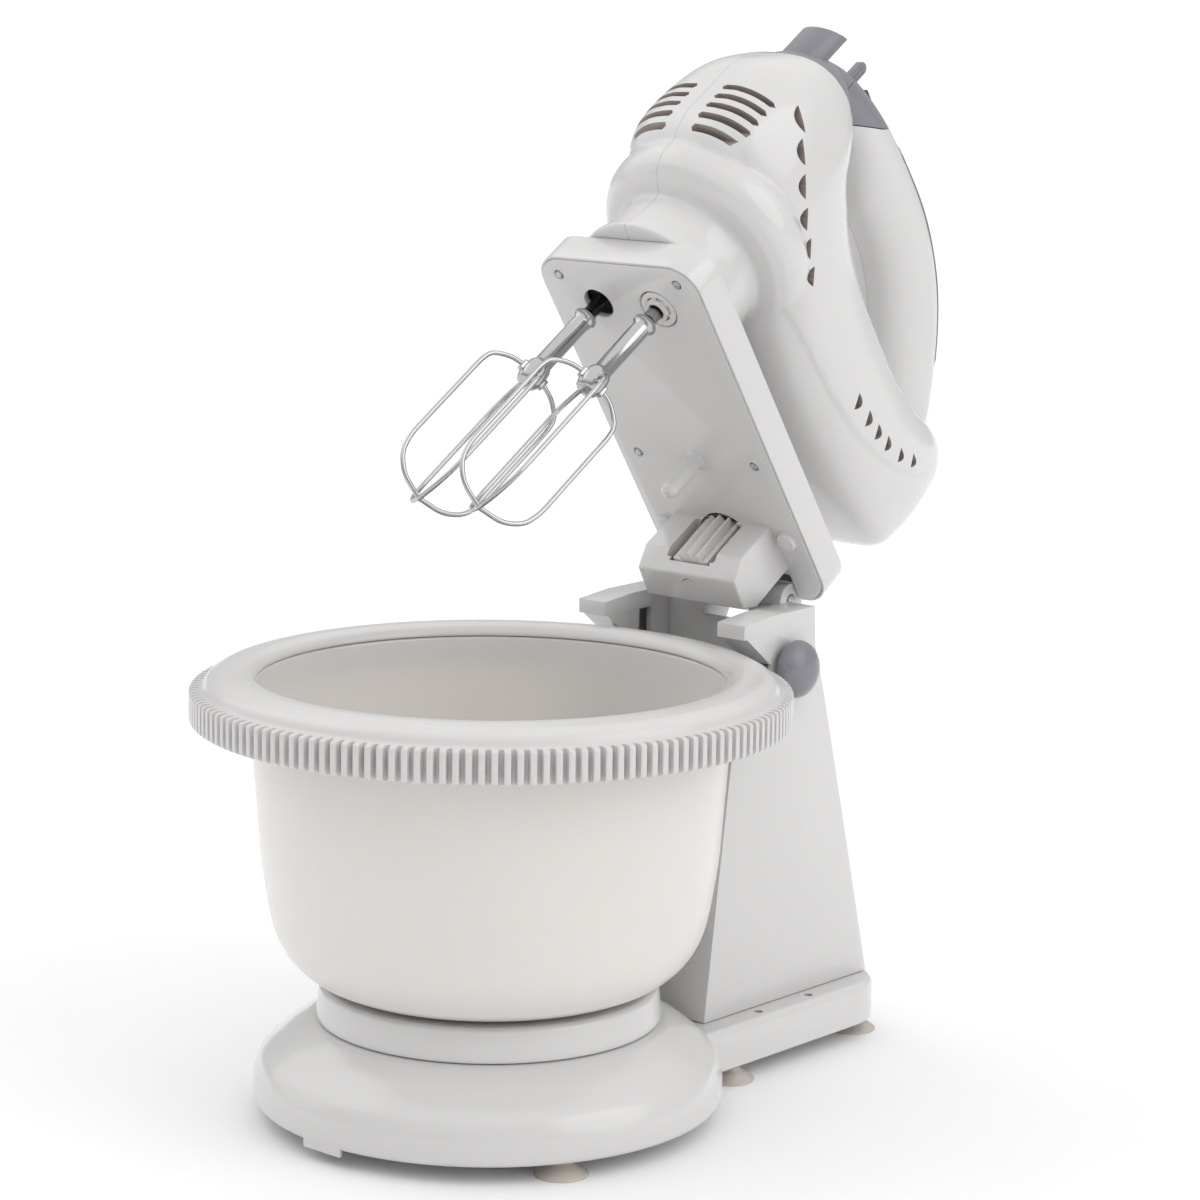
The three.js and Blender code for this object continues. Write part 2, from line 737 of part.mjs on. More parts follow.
function makeDrive() {
  let sleeve = union(
    driveGear(SLEEVE_TEETH, SLEEVE_PHASE),
    upright(0, 0, 0.2, GEAR_FLOOR_W + 1, 8.4, 20),
  );
  sleeve = cut(sleeve, raised(gearShape(6, 4.5, 6, 0.5), -1, GEAR_TOP_W + 1));
  put(arm, "beater_drive_sleeve", sleeve, NYLON, [SLEEVE_AT[0], -SLEEVE_AT[1], 0]);

  for (const [i, at, phase] of [[1, IDLER_1_AT, IDLER_1_PHASE], [2, IDLER_2_AT, IDLER_2_PHASE]]) {
    const gear = cut(driveGear(IDLER_TEETH, phase), upright(0, 0, 0, 12, 2.5, 12));
    put(arm, "idler_gear_" + i, gear, NYLON, [at[0], -at[1], 0]);
    const pin = upright(0, 0, ARM_PLATE + GAP, ARM_TOP_W - 2.2 - GAP, 2.1, 12);
    put(arm, "idler_pin_" + i, pin, STEEL, [at[0], -at[1], 0]);
  }

  const toothed = raised(
    gearShape(PINION_TEETH, PINION_ROOT_RADIUS, PINION_RADIUS, 0.18, -Math.PI / 2),
    -25.4,
    ARM_PLATE - 0.6,
  );
  const shank = upright(0, 0, -BOX_DEPTH - 0.2, GEAR_TOP_W + 1, 2.9, 12);
  const neck = upright(0, 0, ARM_PLATE - 1, GEAR_FLOOR_W + 1, 8, 16);
  const pinion = union(toothed, shank, neck, driveGear(PINION_WHEEL_TEETH, WHEEL_PHASE));
  put(arm, "bowl_drive_pinion", pinion, NYLON, [0, -PINION_U, 0]);
}

// ---------- mixer housing ----------
// Half of a cross-section: height as a share of the section, width as a share of its half-width.
const SECTION = [
  [0, 0.55], [0.14, 0.92], [0.36, 1], [0.66, 0.92], [0.87, 0.72], [1, 0.32],
];
// Along the mixer: u, bottom, top, half-width.
const STATIONS = [
  [49, 58, 109, 26],
  [54, 51, 116, 31],
  [66, 46, 121, 35.5],
  [84, 41, 112, 39],
  [112, 36, 106, 41],
  [150, 32, 105, 42],
  [176, 34, 107, 42.5],
  [196, 41, 113, 42.5],
  [212, 44, 130, 42.2],
  [220, 45, 157, 41.6],
  [230, 45, 161, 40.5],
  [242, 47, 151, 38.2],
  [252, 51, 138, 34.6],
  [261, 56, 125, 29],
  [268, 66, 112, 17],
];

function section([u, bottom, top, half], inset) {
  const low = bottom + inset;
  const high = top - inset;
  const side = SECTION.map(([s, f]) => [(half - inset) * f, low + (high - low) * s]);
  const right = side.map(([x, w]) => [x, -u, w]);
  const left = side.map(([x, w]) => [-x, -u, w]).reverse();
  return [...right, ...left];
}

// Middle line of the grip, from the front of the handle down to the tail.
const GRIP_PATH = [
  [220, 144], [212, 151], [198, 158], [176, 161], [150, 161.5],
  [128, 157], [110, 149], [92, 136], [76, 121], [66, 108],
];
const GRIP_HALF = 17;
const GRIP_THICK = 13.5;
const INLAY_DEPTH = 1.4;

// Oval rings set square to the path of the grip.
function gripRings(halfWidth, halfThick, sides = 12) {
  return GRIP_PATH.map(([u, w], i) => {
    const [u0, w0] = GRIP_PATH[Math.max(i - 1, 0)];
    const [u1, w1] = GRIP_PATH[Math.min(i + 1, GRIP_PATH.length - 1)];
    const length = Math.hypot(u1 - u0, w1 - w0);
    const normal = [(w0 - w1) / length, (u1 - u0) / length];
    const ring = [];
    for (let k = 0; k < sides; k++) {
      const a = (k / sides) * 2 * Math.PI;
      const x = halfWidth * Math.cos(a);
      const h = halfThick * Math.sin(a);
      ring.push([x, -(u - normal[0] * h), w - normal[1] * h]);
    }
    return ring;
  });
}

const NECK_PROFILE = [
  [0, ARM_TOP_W - 3.4],
  [25.6, ARM_TOP_W - 3.4],
  [25.6, ARM_TOP_W + GAP],
  [35, ARM_TOP_W + GAP],
  [31, ARM_TOP_W + 16],
  [31, ARM_TOP_W + 22],
  [42, ARM_TOP_W + 24],
  [46, ARM_TOP_W + 32],
  [46, ARM_TOP_W + 40],
  [36, ARM_TOP_W + 54],
  [0, ARM_TOP_W + 54],
];
const NECK_HOLLOW = [
  [0, ARM_TOP_W - 1],
  [23, ARM_TOP_W - 1],
  [28.4, ARM_TOP_W + 16],
  [28.4, ARM_TOP_W + 24],
  [40, ARM_TOP_W + 27],
  [43, ARM_TOP_W + 33],
  [43, ARM_TOP_W + 40],
  [34, ARM_TOP_W + 52],
  [0, ARM_TOP_W + 52],
];

// A side outline of [u, w] pairs in the head, extruded to x = -half ... half.
function headSlab(outline, half) {
  return slab(outline.map(([u, w]) => [-u, w]), -half, half);
}

// Where the grey panel covers the housing.
function panelRegion(grow) {
  return headSlab(
    [
      [262, 128 - grow],
      [246, 132 - grow],
      [228, 132 - grow],
      [214 - grow, 143 - grow],
      [204 - grow, 156 - grow],
      [196 - grow, 190],
      [262, 190],
    ],
    60,
  );
}

// Plan of the eject button: a bow at the front, flat at the back.
function ejectPlan(grow) {
  const s = new THREE.Shape();
  s.moveTo(-EJECT_HALF - grow, -EJECT_REAR_U + grow);
  s.lineTo(-EJECT_HALF - grow, -EJECT_REAR_U - 3);
  s.quadraticCurveTo(0, -2 * EJECT_FRONT_U + EJECT_REAR_U + 2 - 2 * grow, EJECT_HALF + grow,
    -EJECT_REAR_U - 3);
  s.lineTo(EJECT_HALF + grow, -EJECT_REAR_U + grow);
  s.closePath();
  return s;
}

function makeHousing() {
  const wall = 2.4;
  const body = loft(STATIONS.map((s) => section(s, 0)));
  const neck = turned(NECK_PROFILE, 20).translate([0, -NECK_U, 0]);
  const grip = loft(gripRings(GRIP_HALF, GRIP_THICK));
  const outer = union(body, neck, grip);
  const innerStations = STATIONS.filter(([u]) => ![49, 66, 112, 261, 268].includes(u));
  const inner = union(
    loft(innerStations.map((s) => section(s, wall))),
    turned(NECK_HOLLOW, 20).translate([0, -NECK_U, 0]),
    loft(gripRings(GRIP_HALF - 3, GRIP_THICK - 3, 10)),
  );
  const bores = [BEATER_X, -BEATER_X].map((x) => upright(x, -BEATER_U, 0, 30, 7, 16));
  const ejectHole = raised(ejectPlan(GAP), 118, 190);
  const selectorSlot = block(
    SELECTOR_X - SELECTOR_TRAVEL - 2.4, SELECTOR_X + 2.4, -SELECTOR_U - 3.4, -SELECTOR_U + 3.4,
    140, 190,
  );
  const turboHole = block(-2.4, 4.4, -TURBO_U - 3.4, -TURBO_U + 3.4, 150, 190);
  const glandBore = alongY(-60, -40, 0, GLAND_W, 6.6, 16);
  // grey strip let into the back of the grip
  const strip = cut(
    loft(gripRings(GRIP_HALF, GRIP_THICK)),
    loft(gripRings(GRIP_HALF - INLAY_DEPTH + 1, GRIP_THICK - INLAY_DEPTH)),
  );
  const band = (grow) => block(-8 - grow, 8 + grow, -184 - grow, -84 + grow, 137, 200);
  const bed = cut(
    loft(gripRings(GRIP_HALF + 1, GRIP_THICK + 1)),
    loft(gripRings(GRIP_HALF - INLAY_DEPTH + 1 - GAP, GRIP_THICK - INLAY_DEPTH - GAP)),
  ).intersect(band(GAP));
  put(arm, "grip_inlay", largest(strip.intersect(band(0))), GREY);

  const hollow = cut(outer, inner, ...bores, ejectHole, selectorSlot, turboHole, glandBore);
  put(arm, "control_panel", largest(hollow.intersect(panelRegion(-GAP))), GREY);
  const white = cut(hollow, panelRegion(0), bed);
  for (const [side, x0, x1] of [["right", 0.15, 90], ["left", -90, -0.15]]) {
    const half = white.intersect(block(x0, x1, -300, 0, -20, 200));
    put(arm, "mixer_" + side + "_housing", largest(half), WHITE);
  }
}

// The biggest of the separate bodies left by a cut.
function largest(body) {
  return body.decompose().reduce((a, b) => (a.volume() > b.volume() ? a : b));
}

// ---------- controls on the panel, cord gland ----------
function makeControls() {
  const eject = raised(ejectPlan(0), 121, 170).intersect(
    headSlab([[260, 121], [260, 155], [EJECT_REAR_U, EJECT_TOP_W], [236, 169], [236, 133]], 30),
  );
  put(arm, "eject_button", eject, GREY);

  const tab = union(
    block(SELECTOR_X - 2, SELECTOR_X + 2, -SELECTOR_U - 3, -SELECTOR_U + 3, 150, 172),
    acrossX(SELECTOR_X - 2, SELECTOR_X + 2, -SELECTOR_U, 172, 3, 12),
    block(SELECTOR_X - 4, SELECTOR_X + 4, -SELECTOR_U - 3, -SELECTOR_U + 3, 146, 151),
  );
  put(arm, "speed_selector", tab, GREY);

  const turbo = union(
    block(-2, 4, -TURBO_U - 3, -TURBO_U + 3, 156, 174),
    block(-3.6, 5.6, -TURBO_U - 4, -TURBO_U + 4, 153.5, 157),
  );
  put(arm, "turbo_button", turbo, DARK);

  const gland = cut(
    union(alongY(-60, -44, 0, GLAND_W, 6.2, 16), alongY(-48.6, -44, 0, GLAND_W, 9, 16)),
    alongY(-62, -42, 0, GLAND_W, 3.6, 12),
  );
  put(arm, "cord_gland", gland, DARK);
}

// ---------- motor and beater drive inside the mixer ----------
function makeMotor() {
  const stator = cut(
    alongY(-158, -114, 0, MOTOR_W, 26, 24),
    alongY(-160, -112, 0, MOTOR_W, 16, 20),
  );
  put(arm, "motor_stator", stator, COPPER);
  const armature = union(
    alongY(-236, -94, 0, MOTOR_W, 2.6, 12),
    alongY(-156, -116, 0, MOTOR_W, 15, 20),
    alongY(-110, -98, 0, MOTOR_W, 8, 16),
    alongY(-181, -175, 0, MOTOR_W, 22, 20),
    alongY(-235, -212, 0, MOTOR_W, WORM_RADIUS, 14),
  );
  put(arm, "motor_armature", armature, STEEL);
  const bracket = cut(
    block(-27, 27, -197, -192, 46, 96),
    alongY(-200, -190, 0, MOTOR_W, 3.2, 14),
  );
  put(arm, "motor_bracket", bracket, DARK);

  const wheelRadius = BEATER_X - WORM_RADIUS - GAP;
  for (const [side, x] of [["right", BEATER_X], ["left", -BEATER_X]]) {
    const wheel = raised(
      gearShape(WORM_WHEEL_TEETH, wheelRadius - 1.8, wheelRadius, 0.3),
      MOTOR_W - 4,
      MOTOR_W + 4,
    );
    const tube = cut(
      union(upright(0, 0, 33, MOTOR_W + 8, 6.2, 16), wheel),
      upright(0, 0, 30, 62, 3.7, 12),
    );
    put(arm, side + "_spindle", tube, NYLON, [x, -BEATER_U, 0]);
  }
  put(arm, "speed_switch", block(-12, 12, -234, -218, 112, 128), DARK);
}

// ---------- beaters ----------
function loopRings(phase) {
  const half = BEATER_HALF;
  const path = [
    [4, -45], [13, -48.5], [half - 1.2, -54], [half, -60], [half, -108],
    [half - 2.6, -116], [half - 8, -122.5], [0, -127],
  ];
  const mirrored = path.slice(0, -1).map(([s, w]) => [-s, w]).reverse();
  const all = [...path, ...mirrored];
  const across = [Math.cos(phase), Math.sin(phase)];
  const n = 5;
  return all.map(([s, w], i) => {
    const [s0, w0] = all[Math.max(i - 1, 0)];
    const [s1, w1] = all[Math.min(i + 1, all.length - 1)];
    const length = Math.hypot(s1 - s0, w1 - w0);
    const ns = -(w1 - w0) / length;
    const nw = (s1 - s0) / length;
    const ring = [];
    for (let k = 0; k < n; k++) {
      const a = (k / n) * 2 * Math.PI;
      const inPlane = 1.1 * Math.cos(a);
      const aside = 1.1 * Math.sin(a);
      const r = s + ns * inPlane;
      ring.push([
        r * across[0] - aside * across[1],
        r * across[1] + aside * across[0],
        w + nw * inPlane,
      ]);
    }
    return ring;
  });
}

function makeBeater(name, x) {
  const phase = -BEATER_PHASE;
  const stem = union(
    upright(0, 0, -45, -9, 3.9, 14),
    upright(0, 0, -9.5, 60, 3.2, 6),
    upright(0, 0, -11, -7, 5.6, 14),
    upright(0, 0, -52, -42, 6.8, 14),
  );
  const loops = [phase, phase + Math.PI / 2].map((p) => loft(loopRings(p)));
  put(arm, name, union(stem, ...loops), CHROME, [x, -BEATER_U, 0]);
}

makeBase();
makeFeet();
makeColumn();
makeBowl();
makeRelease();
makeArm();
makeDrive();
makeHousing();
makeControls();
makeMotor();
makeBeater("right_beater", BEATER_X);
makeBeater("left_beater", -BEATER_X);

export default object;
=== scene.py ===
"""Looks of the stand mixer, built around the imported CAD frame. Modelled in millimetres, placed in metres."""

import json
import math

import bmesh
import bpy
from mathutils import Matrix, Vector


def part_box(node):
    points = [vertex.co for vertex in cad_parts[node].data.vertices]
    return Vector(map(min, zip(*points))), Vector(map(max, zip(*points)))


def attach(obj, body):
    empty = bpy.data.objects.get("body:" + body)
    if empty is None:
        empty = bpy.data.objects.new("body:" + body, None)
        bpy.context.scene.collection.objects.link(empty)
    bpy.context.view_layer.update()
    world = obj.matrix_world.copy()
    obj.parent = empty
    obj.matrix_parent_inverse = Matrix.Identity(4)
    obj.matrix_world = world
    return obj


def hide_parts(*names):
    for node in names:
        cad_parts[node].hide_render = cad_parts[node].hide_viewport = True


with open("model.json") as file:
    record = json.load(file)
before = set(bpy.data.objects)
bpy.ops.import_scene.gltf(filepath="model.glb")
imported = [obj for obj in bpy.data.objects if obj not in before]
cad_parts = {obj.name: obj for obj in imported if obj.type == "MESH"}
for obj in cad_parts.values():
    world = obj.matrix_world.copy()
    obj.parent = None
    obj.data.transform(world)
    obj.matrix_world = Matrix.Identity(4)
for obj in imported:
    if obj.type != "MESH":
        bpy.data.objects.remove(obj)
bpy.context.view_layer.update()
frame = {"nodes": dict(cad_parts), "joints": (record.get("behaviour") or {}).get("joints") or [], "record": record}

MM = 0.001
RECORD = frame["record"]
JOINTS = {j["name"]: j for j in frame["joints"]}
BODY_OF = {n: b for b, ns in RECORD["behaviour"]["bodies"].items() for n in ns}
SLOT_OF = {s["node"]: s["material_slot"] for s in RECORD["subparts"]}

# Places in the arm's frame: x across, u ahead, w up from the underside of the plate.
HINGE_U, HINGE_W = 72, -4.3
PINION_U = 99.8
PEG_U = 142.3
NECK_U = 217
SLEEVE_X, SLEEVE_U = 16.05, 223.4
GRIP_HALF_WIDTH, GRIP_HALF_DEPTH = 17, 13.1
EJECT_W, EJECT_TRAVEL_ROOM = 134, 5.5


def middle(node):
    """Centre of a CAD node's box, in millimetres."""
    return [(a + b) / 2 / MM for a, b in zip(*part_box(node))]


# Frames of the modelling: the stand's, on the bowl axis, and the arm's, x across and -y ahead.
BOWL_Y = middle("bowl")[1]
HINGE = Vector(JOINTS["head_tilt"]["pos_m"]) / MM
TILT = -math.radians(JOINTS["head_tilt"]["range_deg"][0])
STAND = Matrix.Translation((0, BOWL_Y, 0))
ARM = Matrix.Translation(HINGE) @ Matrix.Rotation(-TILT, 4, "X")
ARM = ARM @ Matrix.Translation((0, HINGE_U, -HINGE_W))


# ---------- materials ----------
def ramp(nodes, links, source, low_value, high_value):
    """A value between two limits, driven by a noise."""
    spread = nodes.new("ShaderNodeMapRange")
    spread.interpolation_type = "SMOOTHSTEP"
    spread.inputs["From Min"].default_value = 0.2
    spread.inputs["From Max"].default_value = 0.8
    spread.inputs["To Min"].default_value = low_value
    spread.inputs["To Max"].default_value = high_value
    links.new(source, spread.inputs["Value"])
    return spread.outputs["Result"]


def noise(nodes, links, coords, scale, detail, stretch=(1, 1, 1)):
    """A noise in the object's own coordinates, finer along a stretched axis."""
    mapping = nodes.new("ShaderNodeMapping")
    mapping.inputs["Scale"].default_value = stretch
    links.new(coords.outputs["Object"], mapping.inputs["Vector"])
    tex = nodes.new("ShaderNodeTexNoise")
    tex.inputs["Scale"].default_value = scale
    tex.inputs["Detail"].default_value = detail
    links.new(mapping.outputs["Vector"], tex.inputs["Vector"])
    return tex.outputs["Fac"]


def moulded(name, color, rough, spread=0.05, tint=0.03, grain=0.05, grain_scale=900,
            metallic=0.0, coat=0.0, stretch=(1, 1, 1), subsurface=0.0, depth=0.002):
    """Moulded or plated surface: uneven gloss, a faint tint change and a fine bump."""
    mat = bpy.data.materials.new(name)
    mat.use_nodes = True
    nodes, links = mat.node_tree.nodes, mat.node_tree.links
    shader = nodes["Principled BSDF"]
    coords = nodes.new("ShaderNodeTexCoord")
    broad = noise(nodes, links, coords, 14, 3)
    fine = noise(nodes, links, coords, grain_scale, 4, stretch)
    patchy = noise(nodes, links, coords, 22, 2, stretch)
    mix = nodes.new("ShaderNodeMix")
    mix.data_type = "RGBA"
    mix.inputs["A"].default_value = (*[c * (1 - tint) for c in color], 1)
    mix.inputs["B"].default_value = (*[min(1, c * (1 + tint)) for c in color], 1)
    links.new(ramp(nodes, links, broad, 0, 1), mix.inputs["Factor"])
    links.new(mix.outputs["Result"], shader.inputs["Base Color"])
    links.new(ramp(nodes, links, patchy, rough - spread, rough + spread), shader.inputs["Roughness"])
    bump = nodes.new("ShaderNodeBump")
    bump.inputs["Strength"].default_value = grain
    bump.inputs["Distance"].default_value = 0.0004
    links.new(fine, bump.inputs["Height"])
    links.new(bump.outputs["Normal"], shader.inputs["Normal"])
    shader.inputs["Metallic"].default_value = metallic
    shader.inputs["Coat Weight"].default_value = coat
    shader.inputs["Coat Roughness"].default_value = 0.06
    shader.inputs["Subsurface Weight"].default_value = subsurface
    shader.inputs["Subsurface Radius"].default_value = (1, 0.9, 0.8)
    shader.inputs["Subsurface Scale"].default_value = depth
    return mat


WHITE = moulded("white_gloss", (0.635, 0.628, 0.624), 0.2, spread=0.02, tint=0.01, grain=0.012,
                grain_scale=300, coat=0.35)
BOWL_WHITE = moulded("bowl_white", (0.7, 0.68, 0.66), 0.24, spread=0.02, tint=0.012, grain=0.012,
                     grain_scale=260, coat=0.25, subsurface=0.5, depth=0.006)
RING_WHITE = moulded("ring_white", (0.625, 0.614, 0.609), 0.24, spread=0.02, tint=0.01, grain=0.012,
                     grain_scale=260, coat=0.2)
GREY = moulded("satin_grey", (0.2, 0.202, 0.226), 0.3, grain=0.03, grain_scale=500, coat=0.15)
NYLON = moulded("nylon", (0.67, 0.655, 0.64), 0.42, spread=0.08, tint=0.02, grain=0.1, subsurface=0.15)
FOOT = moulded("suction_foot", (0.5, 0.455, 0.41), 0.2, spread=0.06, tint=0.06, grain=0.06,
               coat=0.2, subsurface=0.4)
DARK = moulded("dark_plastic", (0.035, 0.034, 0.036), 0.5, spread=0.1, tint=0.1, grain=0.15)
# Painted shade: a dark brown-grey that the cutters leave on the walls of vents, bores, pits, gaps and seams,
# standing in for the shade inside them.
SHADE = moulded("painted_recess_shade", (0.33, 0.28, 0.26), 0.7, spread=0.1, tint=0.1, grain=0.1)
CHROME = moulded("chrome", (0.46, 0.46, 0.47), 0.14, spread=0.03, tint=0.02, grain=0.02, metallic=1.0)
STEEL = moulded("zinc_steel", (0.5, 0.5, 0.52), 0.34, spread=0.1, tint=0.08, grain=0.2,
                metallic=1.0, stretch=(1, 1, 9))
COPPER = moulded("winding", (0.5, 0.22, 0.1), 0.4, spread=0.1, tint=0.12, grain=0.6, grain_scale=700,
                 metallic=0.8, stretch=(9, 1, 1))
FINISH = {
    "white_abs": WHITE, "bowl_white": BOWL_WHITE, "grey_abs": GREY, "nylon": NYLON,
    "foot_rubber": FOOT, "dark_plastic": DARK, "chrome": CHROME, "steel": STEEL,
    "copper_winding": COPPER,
}


# ---------- mesh helpers ----------
def new_object(name, bm, materials):
    """Turns a finished bmesh into an object in the scene."""
    mesh = bpy.data.meshes.new(name)
    bm.to_mesh(mesh)
    bm.free()
    for mat in materials:
        mesh.materials.append(mat)
    obj = bpy.data.objects.new(name, mesh)
    bpy.context.scene.collection.objects.link(obj)
    return obj


def duplicate(obj):
    """An independent copy of an object and its mesh."""
    copy = obj.copy()
    copy.data = obj.data.copy()
    bpy.context.scene.collection.objects.link(copy)
    return copy


def apply_modifiers(obj):
    """Works an object's modifiers into its mesh."""
    depsgraph = bpy.context.evaluated_depsgraph_get()
    mesh = bpy.data.meshes.new_from_object(obj.evaluated_get(depsgraph), depsgraph=depsgraph)
    obj.modifiers.clear()
    old = obj.data
    obj.data = mesh
    bpy.data.meshes.remove(old)
    return obj


def bevelled(obj, width, segments=3, angle=32):
    """Rounds the edges that are sharper than an angle."""
    mod = obj.modifiers.new("edge", "BEVEL")
    mod.width = width
    mod.segments = segments
    mod.limit_method = "ANGLE"
    mod.angle_limit = math.radians(angle)
    mod.miter_outer = "MITER_ARC"
    mod.use_clamp_overlap = True
    return apply_modifiers(obj)


def combine(obj, other, operation):
    """Boolean with another object, which is used up."""
    mod = obj.modifiers.new("join", "BOOLEAN")
    mod.operation = operation
    mod.solver = "EXACT"
    mod.material_mode = "TRANSFER"
    mod.object = other
    apply_modifiers(obj)
    bpy.data.objects.remove(other)
    return obj


def place(obj, matrix, node, angle=35):
    """Puts a finished piece, made in millimetres, in the row frame, on its body and in its node's place."""
    obj.data.transform(Matrix.Scale(MM, 4) @ matrix)
    obj.data.shade_smooth()
    obj.data.set_sharp_from_angle(angle=math.radians(angle))
    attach(obj, BODY_OF[node])
    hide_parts(node)


def across(obj, spot):
    """Lays an upright turned piece along x, at a spot."""
    obj.data.transform(Matrix.Translation(spot) @ Matrix.Rotation(math.pi / 2, 4, "Y"))
    return obj


def soften(points, radius, steps=4, closed=True):
    """Rounds every corner of a profile."""
    out = []
    n = len(points)
    for i, p in enumerate(points):
        if not closed and i in (0, n - 1):
            out.append(Vector(p))
            continue
        p = Vector(p)
        a = Vector(points[i - 1]) - p
        b = Vector(points[(i + 1) % n]) - p
        reach = min(radius, a.length * 0.45, b.length * 0.45)
        start, end = p + a.normalized() * reach, p + b.normalized() * reach
        for k in range(steps + 1):
            t = k / steps
            out.append(start * (1 - t) ** 2 + p * 2 * t * (1 - t) + end * t ** 2)
    return out


def spline(points, steps):
    """Catmull-Rom curve through points of any dimension."""
    out = []
    ends = [points[0], *points, points[-1]]
    for a, b, c, d in zip(ends, ends[1:], ends[2:], ends[3:]):
        for k in range(steps):
            t = k / steps
            out.append(tuple(
                0.5 * (2 * q + (r - p) * t + (2 * p - 5 * q + 4 * r - v) * t * t
                       + (3 * q - p - 3 * r + v) * t ** 3)
                for p, q, r, v in zip(a, b, c, d)
            ))
    return out + [tuple(points[-1])]


def heading(path, i):
    """Unit vector along a path at its point i."""
    return (path[min(i + 1, len(path) - 1)] - path[max(i - 1, 0)]).normalized()


def lathe(name, profile, mat, segments=144, centre=(0, 0)):
    """Turned body. A profile that starts on the axis is open there, any other is a closed loop."""
    bm = bmesh.new()
    on_axis = profile[0][0] < 1e-6
    rows = []
    for r, z in profile:
        if r < 1e-6:
            rows.append([bm.verts.new((centre[0], centre[1], z))])
            continue
        rows.append([
            bm.verts.new((
                centre[0] + r * math.cos(2 * math.pi * k / segments),
                centre[1] + r * math.sin(2 * math.pi * k / segments),
                z,
            ))
            for k in range(segments)
        ])
    pairs = list(zip(rows, rows[1:]))
    if not on_axis:
        pairs.append((rows[-1], rows[0]))
    for a, b in pairs:
        for k in range(segments):
            j = (k + 1) % segments
            if len(a) == 1:
                bm.faces.new((a[0], b[j], b[k]))
            elif len(b) == 1:
                bm.faces.new((a[k], a[j], b[0]))
            else:
                bm.faces.new((a[k], a[j], b[j], b[k]))
    bmesh.ops.recalc_face_normals(bm, faces=bm.faces)
    return new_object(name, bm, [mat])


def disc(name, radius, z0, z1, mat, segments=48, centre=(0, 0)):
    """Plain turned piece, used for bores and pins as well."""
    return lathe(name, [(0, z0), (radius, z0), (radius, z1), (0, z1)], mat, segments, centre)


def stacked(name, rings, mat):
    """A closed skin over rings with the same number of points, capped at both ends."""
    bm = bmesh.new()
    rows = [[bm.verts.new(p) for p in ring] for ring in rings]
    n = len(rows[0])
    for a, b in zip(rows, rows[1:]):
        for k in range(n):
            j = (k + 1) % n
            bm.faces.new((a[k], a[j], b[j], b[k]))
    bm.faces.new(rows[0])
    bm.faces.new(rows[-1])
    bmesh.ops.recalc_face_normals(bm, faces=bm.faces)
    return new_object(name, bm, [mat])


def prism(name, outline, z0, z1, mat):
    """Plan outline pulled up from z0 to z1."""
    return stacked(name, [[(x, y, z0) for x, y in outline], [(x, y, z1) for x, y in outline]], mat)


def side_prism(name, outline, x0, x1, mat):
    """Side outline of (u, w) pairs in the arm's frame, from x0 to x1."""
    return stacked(name, [[(x, -u, w) for u, w in outline] for x in (x0, x1)], mat)


def block(name, x0, x1, y0, y1, z0, z1, mat):
    return prism(name, [(x0, y0), (x1, y0), (x1, y1), (x0, y1)], z0, z1, mat)


def rounded_plan(half, y0, y1, front, rear, steps=10):
    """Plan rectangle with its own radius at the front and rear corners."""
    out = []
    for cx, cy, r, a0 in (
        (half - front, y0 + front, front, -90), (half - rear, y1 - rear, rear, 0),
        (-half + rear, y1 - rear, rear, 90), (-half + front, y0 + front, front, 180),
    ):
        count = steps if r > 0 else 0
        for k in range(count + 1):
            a = math.radians(a0 + 90 * k / max(count, 1))
            out.append((cx + r * math.cos(a), cy + r * math.sin(a)))
    return out


def refined(node, width=0.5, segments=3, angle=35, shade=38, added=()):
    """The CAD node's own shape, with rounded edges and any added shapes, standing in for the node."""
    bm = bmesh.new()
    bm.from_mesh(frame["nodes"][node].data)
    bmesh.ops.scale(bm, vec=(1 / MM,) * 3, verts=bm.verts)
    bmesh.ops.remove_doubles(bm, verts=bm.verts, dist=1e-3)
    bmesh.ops.dissolve_limit(bm, angle_limit=math.radians(0.6), verts=bm.verts, edges=bm.edges)
    obj = new_object(node + "_shape", bm, [FINISH[SLOT_OF[node]]])
    for shape in added:
        combine(obj, shape, "UNION")
    bevelled(obj, width, segments, angle)
    place(obj, Matrix.Identity(4), node, shade)


# ---------- stand ----------
def rear_plan(inset, corner=26.8, steps=10):
    """Plan of the base behind the bowl, under the column."""
    return rounded_plan(54 - inset, 20, 204 - inset, 0, corner - inset, steps)


def make_base():
    radius, wall, rim = 95, 2.8, 7
    profile = [(0, rim), (radius, rim), (radius, 18), (92.4, 24.6), (89, 28), (81, 34.4), (71.4, 40),
               (0, 40)]
    base = lathe("base", soften(profile, 3, 5, closed=False), WHITE)
    edge = [(0.7, 7), (0, 7.7), (0, 21.5), (0.35, 23), (1.1, 24.2), (2.3, 24.9), (3.4, 25)]
    rings = [[(x, y, z) for x, y in rear_plan(inset, 27, 16)] for inset, z in edge]
    base = combine(base, stacked("base_rear", rings, WHITE), "UNION")
    base = combine(base, prism("recess", rear_plan(wall), 5, 9.4, WHITE), "DIFFERENCE")
    base = combine(base, disc("recess", radius - wall, 5, 9.4, WHITE, 96), "DIFFERENCE")
    for x in (47, -47):
        for y in (116, 150):
            # The pit takes the painted shade colour on its floor and walls, standing in for the shade inside it.
            pit = lathe("pit", [(0, 24), (1.5, 24), (2.1, 25.4), (0, 25.4)], SHADE, 24, (x, y))
            base = combine(base, pit, "DIFFERENCE")
    tab = block("tab", -10, 10, -94.6, -92.8, 4.6, 10, WHITE)
    base = combine(base, bevelled(tab, 0.5), "UNION")
    place(base, STAND, "base_shell", 30)


